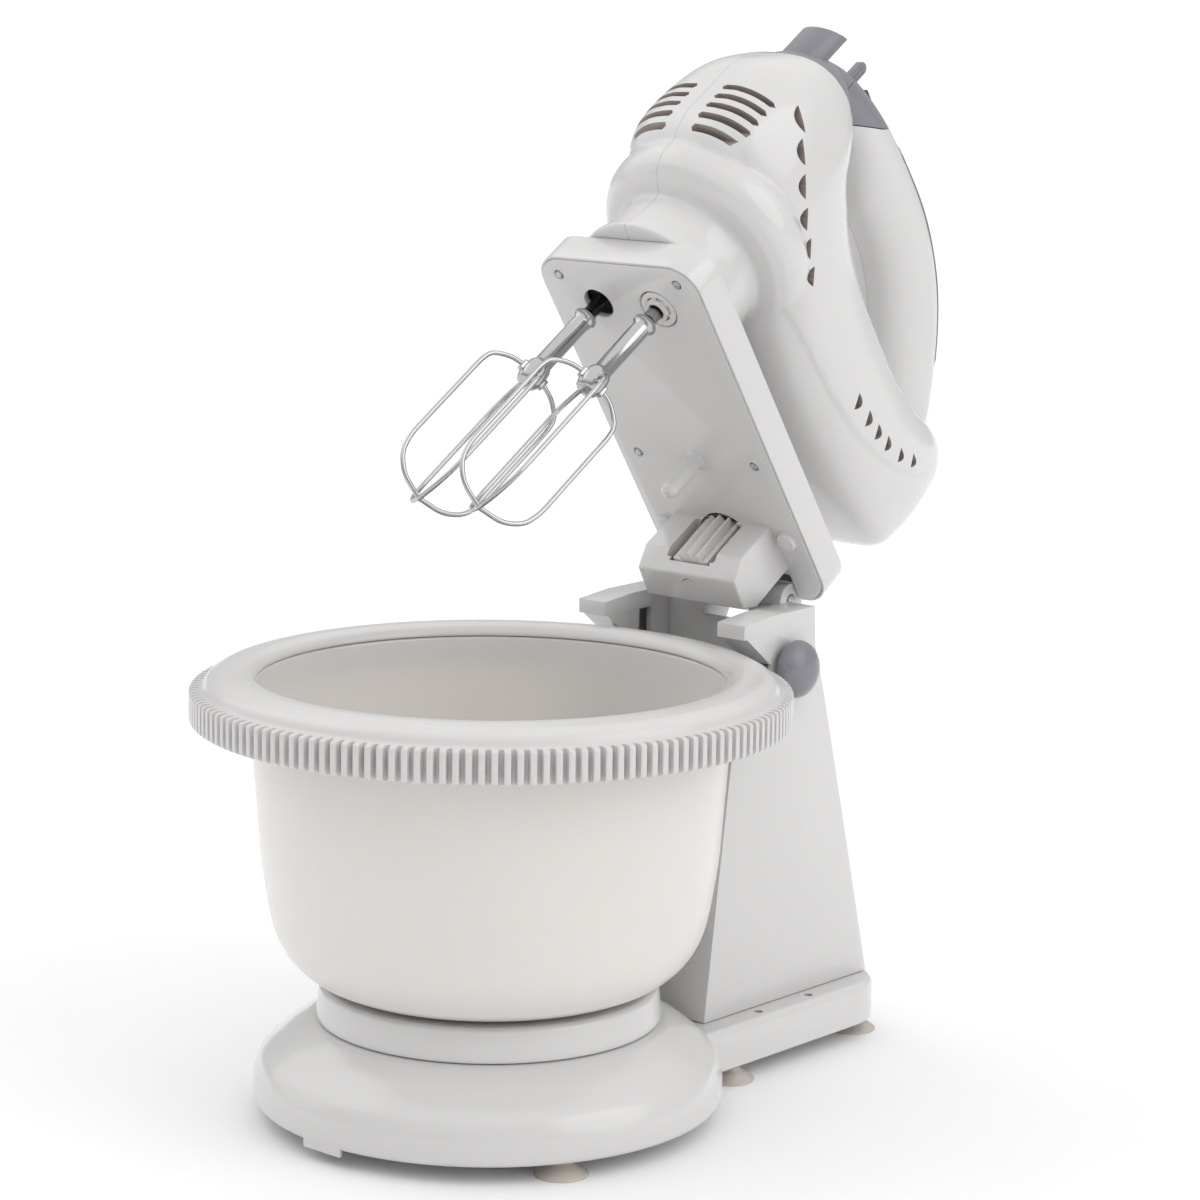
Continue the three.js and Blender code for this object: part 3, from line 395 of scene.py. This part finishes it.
def make_underside():
    """Bottom plate with its ribs, and the suction feet that plug into it."""
    inset, low, high = 3.1, 7.2, 9
    plate = disc("plate", 95 - inset, low, high, WHITE, 96)
    plate = combine(plate, prism("plate_rear", rear_plan(inset), low, high, WHITE), "UNION")
    ribs = [block("rib", -0.8, 0.8, -88, 196, 6.6, 7.6, WHITE)]
    ribs += [block("rib", -48, 48, y, y + 1.6, 6.6, 7.6, WHITE) for y in (60, 120, 170)]
    for rib in ribs:
        plate = combine(plate, rib, "UNION")
    foot_profile = soften(
        [(0, 2.2), (5, 1.5), (9.2, 0), (10.9, 0), (10.5, 0.9), (7.6, 2.9), (5, 4.6), (4.2, 6.5),
         (2.6, 6.6), (2.6, 10.2), (0, 10.2)],
        0.5, 3, closed=False,
    )
    for node in (n for n in BODY_OF if n.startswith("suction_foot")):
        x, y, _ = middle(node)
        centre = (x, y - BOWL_Y)
        # The hole's walls take the painted shade colour, standing in for the shade inside it.
        plate = combine(plate, disc("hole", 3, 5, 11, SHADE, 24, centre), "DIFFERENCE")
        place(lathe(node + "_shape", foot_profile, FOOT, 64, centre), STAND, node, 50)
    place(plate, STAND, "base_bottom_plate")


def make_bowl():
    seat = [(0, 48), (6.5, 46), (12, 40.4), (69.6, 40.4), (69.7, 42.8), (68.6, 53), (66.8, 54.1), (14, 54.1),
            (7, 57.7), (0, 57.7)]
    place(lathe("bowl_seat_shape", soften(seat, 0.8, 3, closed=False), WHITE), STAND, "bowl_seat")

    outside = [(0, 58.5), (8, 58.5), (15.5, 54.7), (58, 54.7), (66, 56.2), (73, 59.4), (80.6, 66), (86, 75.2),
               (88.7, 86), (91.8, 106), (95.6, 158), (96.2, 176.95)]
    inside = [(93.5, 176.95), (93.1, 158), (89.2, 106), (86.1, 86.6), (83.6, 76.4), (78.6, 68), (71.6, 61.6),
              (65.2, 58.7), (57.6, 57.3), (18, 57.3), (10, 61.4), (0, 61.4)]
    wall = soften(outside + inside, 6, 5, closed=False)
    place(lathe("bowl_shape", wall, BOWL_WHITE, 180), STAND, "bowl")


def make_ring():
    """Flange with fine teeth round its skirt. Tooth rows are marked by their share of tooth height."""
    teeth, per_tooth = 157, 10
    root, tip = 115.9, 119.95
    lip = soften(
        [(113.9, 177.5), (112.6, 179.3), (108.2, 181.5), (103.5, 182.4), (99.2, 182.4), (95.6, 181.2),
         (93.7, 179.0), (93.3, 177.25), (96.8, 177.15), (96.8, 163.8), (99.4, 163.8), (99.7, 172.4),
         (112.7, 172.4), (112.7, 161.8)],
        1.0, 3, closed=False,
    )
    rows = [(p.x, p.y, 0) for p in lip]
    rows += [(114.6, 161.7, 0), (root, 161.9, 0.55), (root, 162.8, 0.93), (root, 163.6, 1), (root, 174.0, 1),
             (root, 174.8, 0.9), (root, 175.2, 0.55), (115.2, 175.4, 0), (114.3, 176.3, 0)]
    shape = [0, 0.06, 0.94, 1, 1, 1, 1, 0.94, 0.06, 0]
    bm = bmesh.new()
    count = teeth * per_tooth
    pitch = 2 * math.pi / teeth
    grid = []
    for r, z, share in rows:
        ring = []
        for k in range(count):
            a = math.pi / 2 + pitch * ((k + 0.5) / per_tooth)
            out = r + share * (tip - root) * shape[k % per_tooth]
            ring.append(bm.verts.new((out * math.cos(a), out * math.sin(a), z)))
        grid.append(ring)
    for a, b in zip(grid, grid[1:] + grid[:1]):
        for k in range(count):
            j = (k + 1) % count
            bm.faces.new((a[k], a[j], b[j], b[k]))
    bmesh.ops.recalc_face_normals(bm, faces=bm.faces)
    place(new_object("bowl_gear_ring_shape", bm, [RING_WHITE]), STAND, "bowl_gear_ring", 48)


def make_column():
    """Column with a slanted fillet under each horn, its screws and the pins it carries."""
    side = [(104.2, 187.5), (104.2, 186), (120.8, 173), (126, 173), (126, 187.5)]
    fillets = []
    for ends in ((31.2, 45.3), (-45.3, -31.2)):
        fillets.append(stacked("horn", [[(x, y + BOWL_Y, z) for y, z in side] for x in ends], WHITE))
    refined("column_shell", 1.1, 3, 40, added=fillets)
    for i in range(1, 5):
        refined(f"column_screw_{i}", 0.2, 2)
    refined("hinge_pin", 0.3, 2, shade=45)
    refined("seat_spindle", 0.3, 2)


def make_release_button():
    """Domed knob on a stem, along x."""
    dome_depth = 10.2
    _, y, z = middle("release_button")
    spot = (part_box("release_button")[1].x / MM - dome_depth, y, z)
    dome = [(0, 0), (12, 0), (12.3, 1.2), (12, 3), (11, 5), (8.9, 6.9), (5.8, 8.3), (2.8, 8.9), (0, 9)]
    knob = lathe("release_button_shape", soften(dome, 1.2, 3, closed=False), GREY, 96)
    stem = disc("stem", 5.5, -14, 1, GREY, 32)
    knob = combine(across(knob, spot), across(stem, spot), "UNION")
    place(knob, Matrix.Identity(4), "release_button", 60)


# ---------- arm ----------
def gear_box():
    """Box under the plate round the pinion, with a window ahead of it."""
    outline = [(110, 1), (110.6, -21.5), (105.4, -31), (91.2, -32.2), (86.2, -25), (86.2, 1)]
    box = bevelled(side_prism("gear_box", outline, -26.5, 26.5, WHITE), 0.9, 4)
    centre = (0, -PINION_U)
    box = combine(box, disc("pocket", 13.7, -26.4, 4, WHITE, 64, centre), "DIFFERENCE")
    opening = [(PINION_U, -25), (PINION_U, -1.5), (116, -1.5), (116, -25)]
    window = bevelled(side_prism("window", opening, -13, 13, WHITE), 1)
    box = combine(box, window, "DIFFERENCE")
    return combine(box, disc("seat", 3.3, -31.3, -20, WHITE, 32, centre), "DIFFERENCE")


def peg():
    """Round-ended peg under the plate."""
    radius, tip = 3.8, -19.2
    turns = [t * math.pi / 16 for t in range(9)]
    end = [(radius * math.sin(a), tip - radius * math.cos(a)) for a in turns]
    profile = end + [(radius, -1.4), (4.4, -0.3), (5, 0.1), (5, 1), (0, 1)]
    return lathe("peg", profile, WHITE, 40, (0, -PEG_U))


def hinge_lug():
    lug = block("lug", -11.9, 11.9, -84, -HINGE_U, -9.3, 2.4, WHITE)
    eye = across(disc("eye", 7.2, -11.9, 11.9, WHITE), (0, -HINGE_U, HINGE_W))
    return combine(lug, eye, "UNION")


def make_arm_plate():
    """Underside of the arm, with the gear box, the peg, two bumps and the hinge lug."""
    plate = prism("arm_plate", rounded_plan(41.15, -244.65, -70, 12.15, 12.15, 14), 0, 2.4, WHITE)
    bevelled(plate, 0.2, 2)
    plate = combine(plate, gear_box(), "UNION")
    plate = combine(plate, peg(), "UNION")
    bump = [(0, -2.5), (3.6, -2.5), (4.2, -2.2), (4.5, -1.6), (4.8, 1), (0, 1)]
    for x in (33, -33):
        plate = combine(plate, lathe("bump", bump, WHITE, 40, (x, -103)), "UNION")
    plate = combine(plate, disc("clear", 13.7, -3.9, 4, WHITE, 64, (0, -PINION_U)), "DIFFERENCE")
    plate = combine(plate, block("notch", -26, 26, -83, 0, -12, 10, WHITE), "DIFFERENCE")
    plate = combine(plate, hinge_lug(), "UNION")
    pin = across(disc("pin", 2.8, -13, 13, WHITE, 32), (0, -HINGE_U, HINGE_W))
    plate = combine(plate, pin, "DIFFERENCE")
    holes = [(-SLEEVE_X, SLEEVE_U, 6.9), (SLEEVE_X, SLEEVE_U, 8.9)]
    holes += [(x, u, 2.15) for x in (31.5, -31.5) for u in (236.8, 142.8)]
    for x, u, r in holes:
        flared = [(0, -3), (r + 0.5, -3), (r + 0.5, -0.1), (r, 0.45), (r, 5), (0, 5)]
        plate = combine(plate, lathe("hole", flared, WHITE, 48, (x, -u)), "DIFFERENCE")
    place(plate, ARM, "arm_bottom_plate", 30)


def make_sleeve():
    """Drive sleeve with a six-sided collar in its mouth."""
    corners = [math.radians(60 * k + 10) for k in range(6)]
    outline = [(5.6 * math.cos(a), 5.6 * math.sin(a)) for a in corners]
    collar = bevelled(prism("collar", outline, -1.6, 1.5, NYLON), 0.4, 2)
    collar = combine(collar, disc("bore", 3.5, -3, 3, NYLON, 40), "DIFFERENCE")
    collar.data.transform(ARM @ Matrix.Translation((SLEEVE_X, -SLEEVE_U, 0)))
    refined("beater_drive_sleeve", 0.15, 2, added=[collar])


def make_arm():
    make_arm_plate()
    refined("arm_top_shell", 1.6, 4, 40)
    for i in range(1, 5):
        refined(f"arm_screw_{i}", 0.15, 2)
    make_sleeve()
    refined("idler_gear_1", 0.15, 2)
    refined("idler_gear_2", 0.15, 2)
    refined("bowl_drive_pinion", 0.3, 2, 30)
    refined("idler_pin_1", 0.2, 2)
    refined("idler_pin_2", 0.2, 2)


# ---------- beaters ----------
def loop_path(phase):
    """Half of the wire loop: out from the hub, down and in, then mirrored."""
    corners = [(3.2, -46.5), (12.4, -49), (18.6, -54.4), (19.6, -60), (19.6, -108), (17.6, -116.5),
               (11, -123.2), (0, -126)]
    half = soften(corners, 5, 4, closed=False)
    path = half + [Vector((-p.x, p.y)) for p in reversed(half[:-1])]
    return [Vector((p.x * math.cos(phase), p.x * math.sin(phase), p.y)) for p in path]


def tube(name, path, radius, mat, sides=12):
    """Wire along a path that lies in one upright plane."""
    rings = []
    plane = Vector((path[0].y, -path[0].x, 0)).normalized()
    turns = [2 * math.pi * k / sides for k in range(sides)]
    for i, p in enumerate(path):
        other = heading(path, i).cross(plane).normalized()
        rings.append([p + radius * (math.cos(a) * plane + math.sin(a) * other) for a in turns])
    return stacked(name, rings, mat)


def make_beater(side, x):
    """Turned stem, two crossed wire loops and the lugs that hold them."""
    profile = [(0, -53), (3.4, -53), (4.6, -52.2), (5.3, -50), (5.4, -45), (5, -42.6), (4.4, -41.4),
               (3.9, -40.6), (3.9, -13.4), (4.2, -11.6), (5.1, -10.9), (5.2, -9.7), (4.8, -9.0), (4.1, -8.6),
               (3.6, -7.6), (3.2, -7.2), (3.2, 58), (2.2, 60), (0, 60)]
    beater = lathe("stem", profile, CHROME, 48)
    parts = []
    for phase in (-30, 60):
        parts.append(tube("wire", loop_path(math.radians(phase)), 1.02, CHROME))
    for phase in (-30, 60, 150, 240):
        lug = bevelled(block("lug", -1.4, 1.4, 4.2, 6.6, -50, -45, CHROME), 0.6)
        lug.data.transform(Matrix.Rotation(math.radians(phase) - math.pi / 2, 4, "Z"))
        parts.append(lug)
    for part in parts:
        beater = combine(beater, part, "UNION")
    beater.name = side + "_beater_shape"
    place(beater, ARM @ Matrix.Translation((x, -SLEEVE_U, 0)), side + "_beater", 45)


# ---------- mixer ----------
# Along the mixer: u, bottom, top, half-width, in the arm's frame.
STATIONS = [
    (49.6, 60, 107, 23.5), (50.6, 56.5, 111.5, 26.5), (53, 53.5, 115.5, 29.5), (57.5, 50, 118.8, 32.4),
    (64, 47, 120.4, 35), (74, 43.5, 117.5, 37.4), (90, 39.5, 111, 39.5), (112, 36, 106, 40.8),
    (135, 33.5, 105, 41.6), (160, 33, 105, 42.2), (180, 36, 107.5, 42.5), (194, 40.5, 112.5, 42.5),
    (205, 43.5, 120, 42.4), (213, 45, 130, 42.2), (219, 45, 141, 42), (226, 45.2, 150, 41.6),
    (234, 46, 152, 40.6), (242, 47.5, 149, 39), (250, 50.5, 142, 36.6), (257, 54, 133, 33.2),
    (263, 59, 122.5, 28.4), (267.2, 65, 114, 22), (269.4, 73, 106, 14.5),
]

# Cross-section from bottom to top: share of the height, and share of the half-width there.
SECTION = [
    (0, 0), (0, 0.3), (0.015, 0.55), (0.06, 0.76), (0.14, 0.9), (0.24, 0.98), (0.36, 1), (0.5, 0.985),
    (0.66, 0.93), (0.78, 0.85), (0.87, 0.74), (0.94, 0.6), (0.98, 0.44), (1, 0.25), (1, 0),
]

# The fuller shares of the half-width that the tail has, at the same heights.
TAIL_SHARES = [0, 0.62, 0.78, 0.9, 0.96, 0.985, 1, 0.99, 0.94, 0.86, 0.75, 0.61, 0.45, 0.25, 0]

# Side outline of the slightly raised upper part.
CREASE = [
    (40, 104), (52, 101.5), (60, 95.5), (68, 87), (76, 79), (88, 69), (102, 60), (122, 52.5), (144, 48),
    (165, 46.5), (190, 46), (215, 49), (240, 56), (262, 67), (285, 82), (285, 200), (40, 200),
]

# Middle line of the grip, from the panel to the tail.
GRIP_PATH = [
    (243, 132), (235, 141), (226, 148.3), (216, 152.8), (206, 156), (194, 158.8), (176, 161), (150, 161.5),
    (128, 157), (110, 149), (92, 136), (76, 121), (66, 108),
]


def mixer_body(name, widen):
    """Body through the stations, boxy at the tail and narrow at the top of the crown."""
    rings = []
    for u, bottom, top, half in spline(STATIONS, 4):
        boxy = max(0, min(1, (130 - u) / 60))
        crown = max(0, 1 - abs(u - 228) / 26)
        rows = []
        for (s, share), full in zip(SECTION, TAIL_SHARES):
            narrowing = crown * 0.2 * max(0, (s - 0.62) / 0.38) ** 0.8 * (share > 0)
            rows.append((s, share + boxy * (full - share) - narrowing))
        side = [(half * widen * f, bottom + (top - bottom) * s) for s, f in spline(rows, 3)]
        rings.append([(x, -u, w) for x, w in side] + [(-x, -u, w) for x, w in reversed(side[1:-1])])
    return stacked(name, rings, WHITE)


def squarish(share):
    """A sine or cosine pushed outwards, for a section between an ellipse and a rectangle."""
    return math.copysign(abs(share) ** 0.85, share)


def grip():
    """Handle along its middle line, thicker on its inner side behind the panel."""
    path = soften(GRIP_PATH, 14, 4, closed=False)
    sides = 32
    rings = []
    for i, p in enumerate(path):
        along = heading(path, i)
        inward = Vector((-along.y, along.x))
        inner = 13 + 11 * max(0, min(1, (205 - p.x) / 30))
        ring = []
        for k in range(sides):
            a = 2 * math.pi * k / sides
            depth = inner if math.sin(a) > 0 else GRIP_HALF_DEPTH
            q = p + inward * (depth * squarish(math.sin(a)))
            ring.append((GRIP_HALF_WIDTH * squarish(math.cos(a)), -q.x, q.y))
        rings.append(ring)
    return stacked("grip", rings, WHITE)


def mixer_solid():
    """Body, neck and grip melted into one smooth skin."""
    body = mixer_body("mixer", 1)
    raised = combine(mixer_body("raised", 1.028), side_prism("upper", CREASE, -60, 60, WHITE), "INTERSECT")
    body = combine(body, raised, "UNION")
    neck = lathe(
        "neck",
        [(0, 11.7), (25.5, 11.7), (25.5, 15.4), (36.5, 15.4), (36.2, 17), (34.8, 22), (33.8, 30), (33.5, 38),
         (34, 40.4), (37.2, 41.2), (41.4, 43), (45, 46.4), (46.8, 50.5), (47.4, 55), (46.8, 60), (43, 66),
         (36, 70), (0, 70)],
        WHITE, 96, (0, -NECK_U),
    )
    mixer = combine(combine(body, neck, "UNION"), grip(), "UNION")
    skin = mixer.modifiers.new("skin", "REMESH")
    skin.mode = "VOXEL"
    skin.voxel_size = 1.0
    soft = mixer.modifiers.new("soft", "SMOOTH")
    soft.factor = 0.5
    soft.iterations = 7
    return apply_modifiers(mixer)


def crescent(u, w, length, x0, x1, turn):
    """Cutter for one side vent: straight along one side, bowed along the other."""
    bow = 4.2
    points = [(length * (t / 10 - 0.5), 0) for t in range(11)]
    points += [(length * (0.5 - t / 10), -bow * math.sin(math.pi * t / 10) ** 0.8) for t in range(1, 10)]
    along = Vector((math.cos(turn), math.sin(turn)))
    over = Vector((-along.y, along.x))
    outline = [Vector((u, w)) + along * a + over * b for a, b in points]
    # The cutter carries the painted shade colour onto the vent's walls, standing in for the shade inside it.
    return side_prism("vent", outline, x0, x1, SHADE)


def vent_cutters():
    """Crescents along the crease, front and rear, and five slots each side of the nose."""
    front = [(250.5, 96, 11.2, 30), (241, 86.4, 11, 33), (229.8, 78, 10.4, 35), (218.3, 71.4, 9.6, 36),
             (206.9, 66.4, 8.8, 37), (196, 62, 8.4, 37)]
    rear = [(132.5, 59, 7.6), (121.3, 61.4, 7.4), (111.8, 64, 7.2), (102.7, 67.4, 7), (91.6, 73, 6.6),
            (82.2, 80.6, 6.4)]
    slot = [(8, -1.6), (30, -2.4), (31.4, -0.9), (30, 0.8), (8, 1.6), (6.8, 0)]
    # Every cutter carries the painted shade colour onto the walls it leaves, standing in for the shade inside the
    # vents and slots.
    cutters = []
    for side in (1, -1):
        for u, w, length, depth in front:
            reach = sorted((side * depth, side * 60))
            cutters.append(crescent(u, w, length, *reach, math.radians(36)))
        for u, w, length in rear:
            reach = sorted((side * 34, side * 60))
            cutters.append(crescent(u, w, length, *reach, math.radians(-122)))
        for i in range(5):
            level = 90 - 6.3 * i
            rings = [[(side * x, -u, level + rise) for x, rise in slot] for u in (260, 285)]
            cutters.append(stacked("slot", rings, SHADE))
    return cutters


def panel_outline(grow):
    """Side outline of the grey panel over the front of the grip."""
    return [
        (275, 126 - grow), (262, 129 - grow), (246, 132 - grow), (228, 132.5 - grow),
        (219 - grow, 137.5 - grow), (212 - grow, 145 - grow), (204.5 - grow, 154 - grow),
        (199 - grow, 160.5 - grow), (195.5 - grow, 166), (193.6 - grow, 172), (193 - grow, 178),
        (194 - grow, 190), (275, 190),
    ]


def eject_plan(grow):
    """Bowed at the front, flat at the back."""
    half, rear, front = 10.5 + grow, 241 - grow, 252 + grow
    outline = [(-half, -rear)]
    for k in range(15):
        x = half * (2 * k / 14 - 1)
        outline.append((x, -(rear + 3) - (front - rear - 3) * (1 - (x / half) ** 2) ** 0.6))
    outline.append((half, -rear))
    return outline


def make_panel(solid):
    """Grey panel, cut from the mixer's skin, with the line where its two mouldings meet."""
    region = side_prism("region", panel_outline(-0.25), -60, 60, GREY)
    panel = combine(duplicate(solid), region, "INTERSECT")
    panel.data.materials.clear()
    panel.data.materials.append(GREY)
    panel.name = "control_panel_shape"
    line = [(224.5, 182), (226.3, 160), (228.1, 148), (227.7, 138), (226.6, 122)]
    outline = line + [(u + 0.5, w) for u, w in reversed(line)]
    panel = combine(panel, side_prism("split", outline, -60, 60, GREY), "DIFFERENCE")
    place(bevelled(panel, 0.35, 2, 50), ARM, "control_panel", 50)


def make_mixer():
    """Two housing halves and the panel, all cut from one skin."""
    solid = mixer_solid()
    for cutter in vent_cutters():
        solid = combine(solid, cutter, "DIFFERENCE")
    # The bores, the hole round the eject knob and the gap round the panel are cut with the painted shade colour,
    # which lines their walls in place of the shade in them.
    for x in (SLEEVE_X, -SLEEVE_X):
        solid = combine(solid, disc("bore", 7, 8, 30, SHADE, 40, (x, -SLEEVE_U)), "DIFFERENCE")
    hole = prism("hole", eject_plan(0.35), EJECT_W - EJECT_TRAVEL_ROOM, 190, SHADE)
    solid = combine(solid, hole, "DIFFERENCE")
    make_panel(solid)
    solid = combine(solid, side_prism("region", panel_outline(0.05), -60, 60, SHADE), "DIFFERENCE")
    seam = 0.06
    # The faces along the split between the halves take the painted shade colour, a dark line standing in for the
    # shade in the seam.
    for obj, side, x0, x1 in ((solid, "right", seam, 80), (duplicate(solid), "left", -80, -seam)):
        half = combine(obj, block("half", x0, x1, -300, 0, -10, 220, SHADE), "INTERSECT")
        half.name = f"mixer_{side}_housing_shape"
        place(bevelled(half, 0.15, 2, 50), ARM, f"mixer_{side}_housing", 50)


# ---------- controls ----------
def make_eject_button():
    """Tall knob with a top that slopes down to the front."""
    plan = eject_plan(0)
    rings = [[(x, y, EJECT_W) for x, y in plan], [(x, y, 160 - 0.6 * (-y - 252)) for x, y in plan]]
    knob = stacked("eject_button_shape", rings, GREY)
    place(bevelled(knob, 0.7, 4, 40), ARM, "eject_button", 45)


def make_selector():
    """Thumb tab with ribs along it."""
    foot = block("foot", 2.1, 9.9, -225.4, -219.6, 146.1, 151, GREY)
    outline = [(219.7, 150), (219.7, 171.6)]
    for t in range(1, 8):
        a = t * math.pi / 8
        outline.append((222.5 - 2.8 * math.cos(a), 171.9 + 2.8 * math.sin(a)))
    outline += [(225.3, 171.6), (225.3, 150)]
    faces = (4.35, 7.65)
    tab = bevelled(side_prism("speed_selector_shape", outline, *faces, GREY), 0.5, 3)
    for x in faces:
        for u in (220.7, 222.5, 224.3):
            rib = bevelled(block("rib", x - 0.32, x + 0.32, -u - 0.42, -u + 0.42, 155, 172, GREY), 0.2, 2)
            tab = combine(tab, rib, "UNION")
    place(combine(tab, foot, "UNION"), ARM, "speed_selector", 40)


def make_inlay():
    """Soft strip let into the back of the grip, following its curve and narrowing at both ends."""
    proud, sunk, half_angle = 0.1, -0.9, 62
    path = [Vector(p) for p in spline(GRIP_PATH, 8)]
    path = [p for p in path if 84 <= p.x <= 186]
    rings = []
    for i, p in enumerate(path):
        along = heading(path, i)
        outward = Vector((along.y, -along.x))
        taper = min(1, 0.25 + 0.25 * min(i, len(path) - 1 - i))
        ring = []
        for lift, order in ((proud, 1), (sunk, -1)):
            for k in range(-8, 9):
                a = math.pi / 2 - order * math.radians(half_angle) * taper * k / 8
                q = p + outward * ((GRIP_HALF_DEPTH + lift) * squarish(math.sin(a)))
                ring.append(((GRIP_HALF_WIDTH + lift) * squarish(math.cos(a)), -q.x, q.y))
        rings.append(ring)
    place(stacked("grip_inlay_shape", rings, GREY), ARM, "grip_inlay", 40)


def make_controls():
    make_eject_button()
    make_selector()
    refined("turbo_button", 0.6, 3, 30)
    make_inlay()
    refined("cord_gland", 0.5, 3)


def make_insides():
    """Motor, spindles and switch, seen only through the vents."""
    for node in ("motor_stator", "motor_armature", "motor_bracket", "right_spindle", "left_spindle",
                 "speed_switch"):
        refined(node, 0.4, 2)


# ---------- floor, light, camera ----------
def make_floor():
    reach = 60
    corners = [(-reach, -reach), (reach, -reach), (reach, reach), (-reach, reach)]
    bm = bmesh.new()
    bm.faces.new([bm.verts.new((x, y, 0)) for x, y in corners])
    finish = moulded("floor", (0.96, 0.96, 0.963), 0.6, tint=0.004, grain=0.01, grain_scale=60)
    new_object("floor", bm, [finish])


def make_world():
    """White surroundings, brighter overhead than at the horizon."""
    world = bpy.data.worlds.new("world")
    bpy.context.scene.world = world
    world.use_nodes = True
    nodes, links = world.node_tree.nodes, world.node_tree.links
    background = nodes["Background"]
    background.inputs["Color"].default_value = (1, 1, 1, 1)
    coords = nodes.new("ShaderNodeTexCoord")
    split = nodes.new("ShaderNodeSeparateXYZ")
    level = nodes.new("ShaderNodeMapRange")
    level.interpolation_type = "SMOOTHSTEP"
    level.inputs["From Min"].default_value = 0.2
    level.inputs["From Max"].default_value = 0.85
    level.inputs["To Min"].default_value = 0.5
    level.inputs["To Max"].default_value = 1.2
    links.new(coords.outputs["Generated"], split.inputs["Vector"])
    links.new(split.outputs["Z"], level.inputs["Value"])
    links.new(level.outputs["Result"], background.inputs["Strength"])


def make_light(name, spot, angle, power):
    """Wide, soft sun that shines from a direction."""
    light = bpy.data.lights.new(name, "SUN")
    light.energy = power
    light.angle = math.radians(angle)
    obj = bpy.data.objects.new(name, light)
    obj.rotation_euler = Vector(spot).to_track_quat("Z", "Y").to_euler()
    bpy.context.scene.collection.objects.link(obj)


def make_camera():
    """Long lens from the front right, a little above the bowl."""
    turn, pitch, roll = math.radians(41.18), math.radians(10.26), 0.0146
    spot = Vector((936.58, -1006.07 + BOWL_Y, 458.97)) * MM
    ahead = Vector((-math.sin(turn) * math.cos(pitch), math.cos(turn) * math.cos(pitch), -math.sin(pitch)))
    level = ahead.cross(Vector((0, 0, 1))).normalized()
    upright = level.cross(ahead)
    right = level * math.cos(roll) + upright * math.sin(roll)
    up = upright * math.cos(roll) - level * math.sin(roll)
    data = bpy.data.cameras.new("camera")
    data.sensor_width = 36
    data.lens = 105.77
    data.clip_end = 200
    camera = bpy.data.objects.new("camera", data)
    camera.matrix_world = Matrix((
        (right.x, up.x, -ahead.x, spot.x),
        (right.y, up.y, -ahead.y, spot.y),
        (right.z, up.z, -ahead.z, spot.z),
        (0, 0, 0, 1),
    ))
    bpy.context.scene.collection.objects.link(camera)
    bpy.context.scene.camera = camera
    bpy.context.scene.view_settings.view_transform = "Standard"


make_camera()
make_floor()
make_world()
make_light("key", (1.5, 0.4, 0.85), 50, 0.75)
make_light("fill", (-1.3, -0.5, 0.9), 60, 0.45)
make_base()
make_underside()
make_bowl()
make_ring()
make_column()
make_release_button()
make_arm()
make_beater("right", SLEEVE_X)
make_beater("left", -SLEEVE_X)
make_mixer()
make_controls()
make_insides()
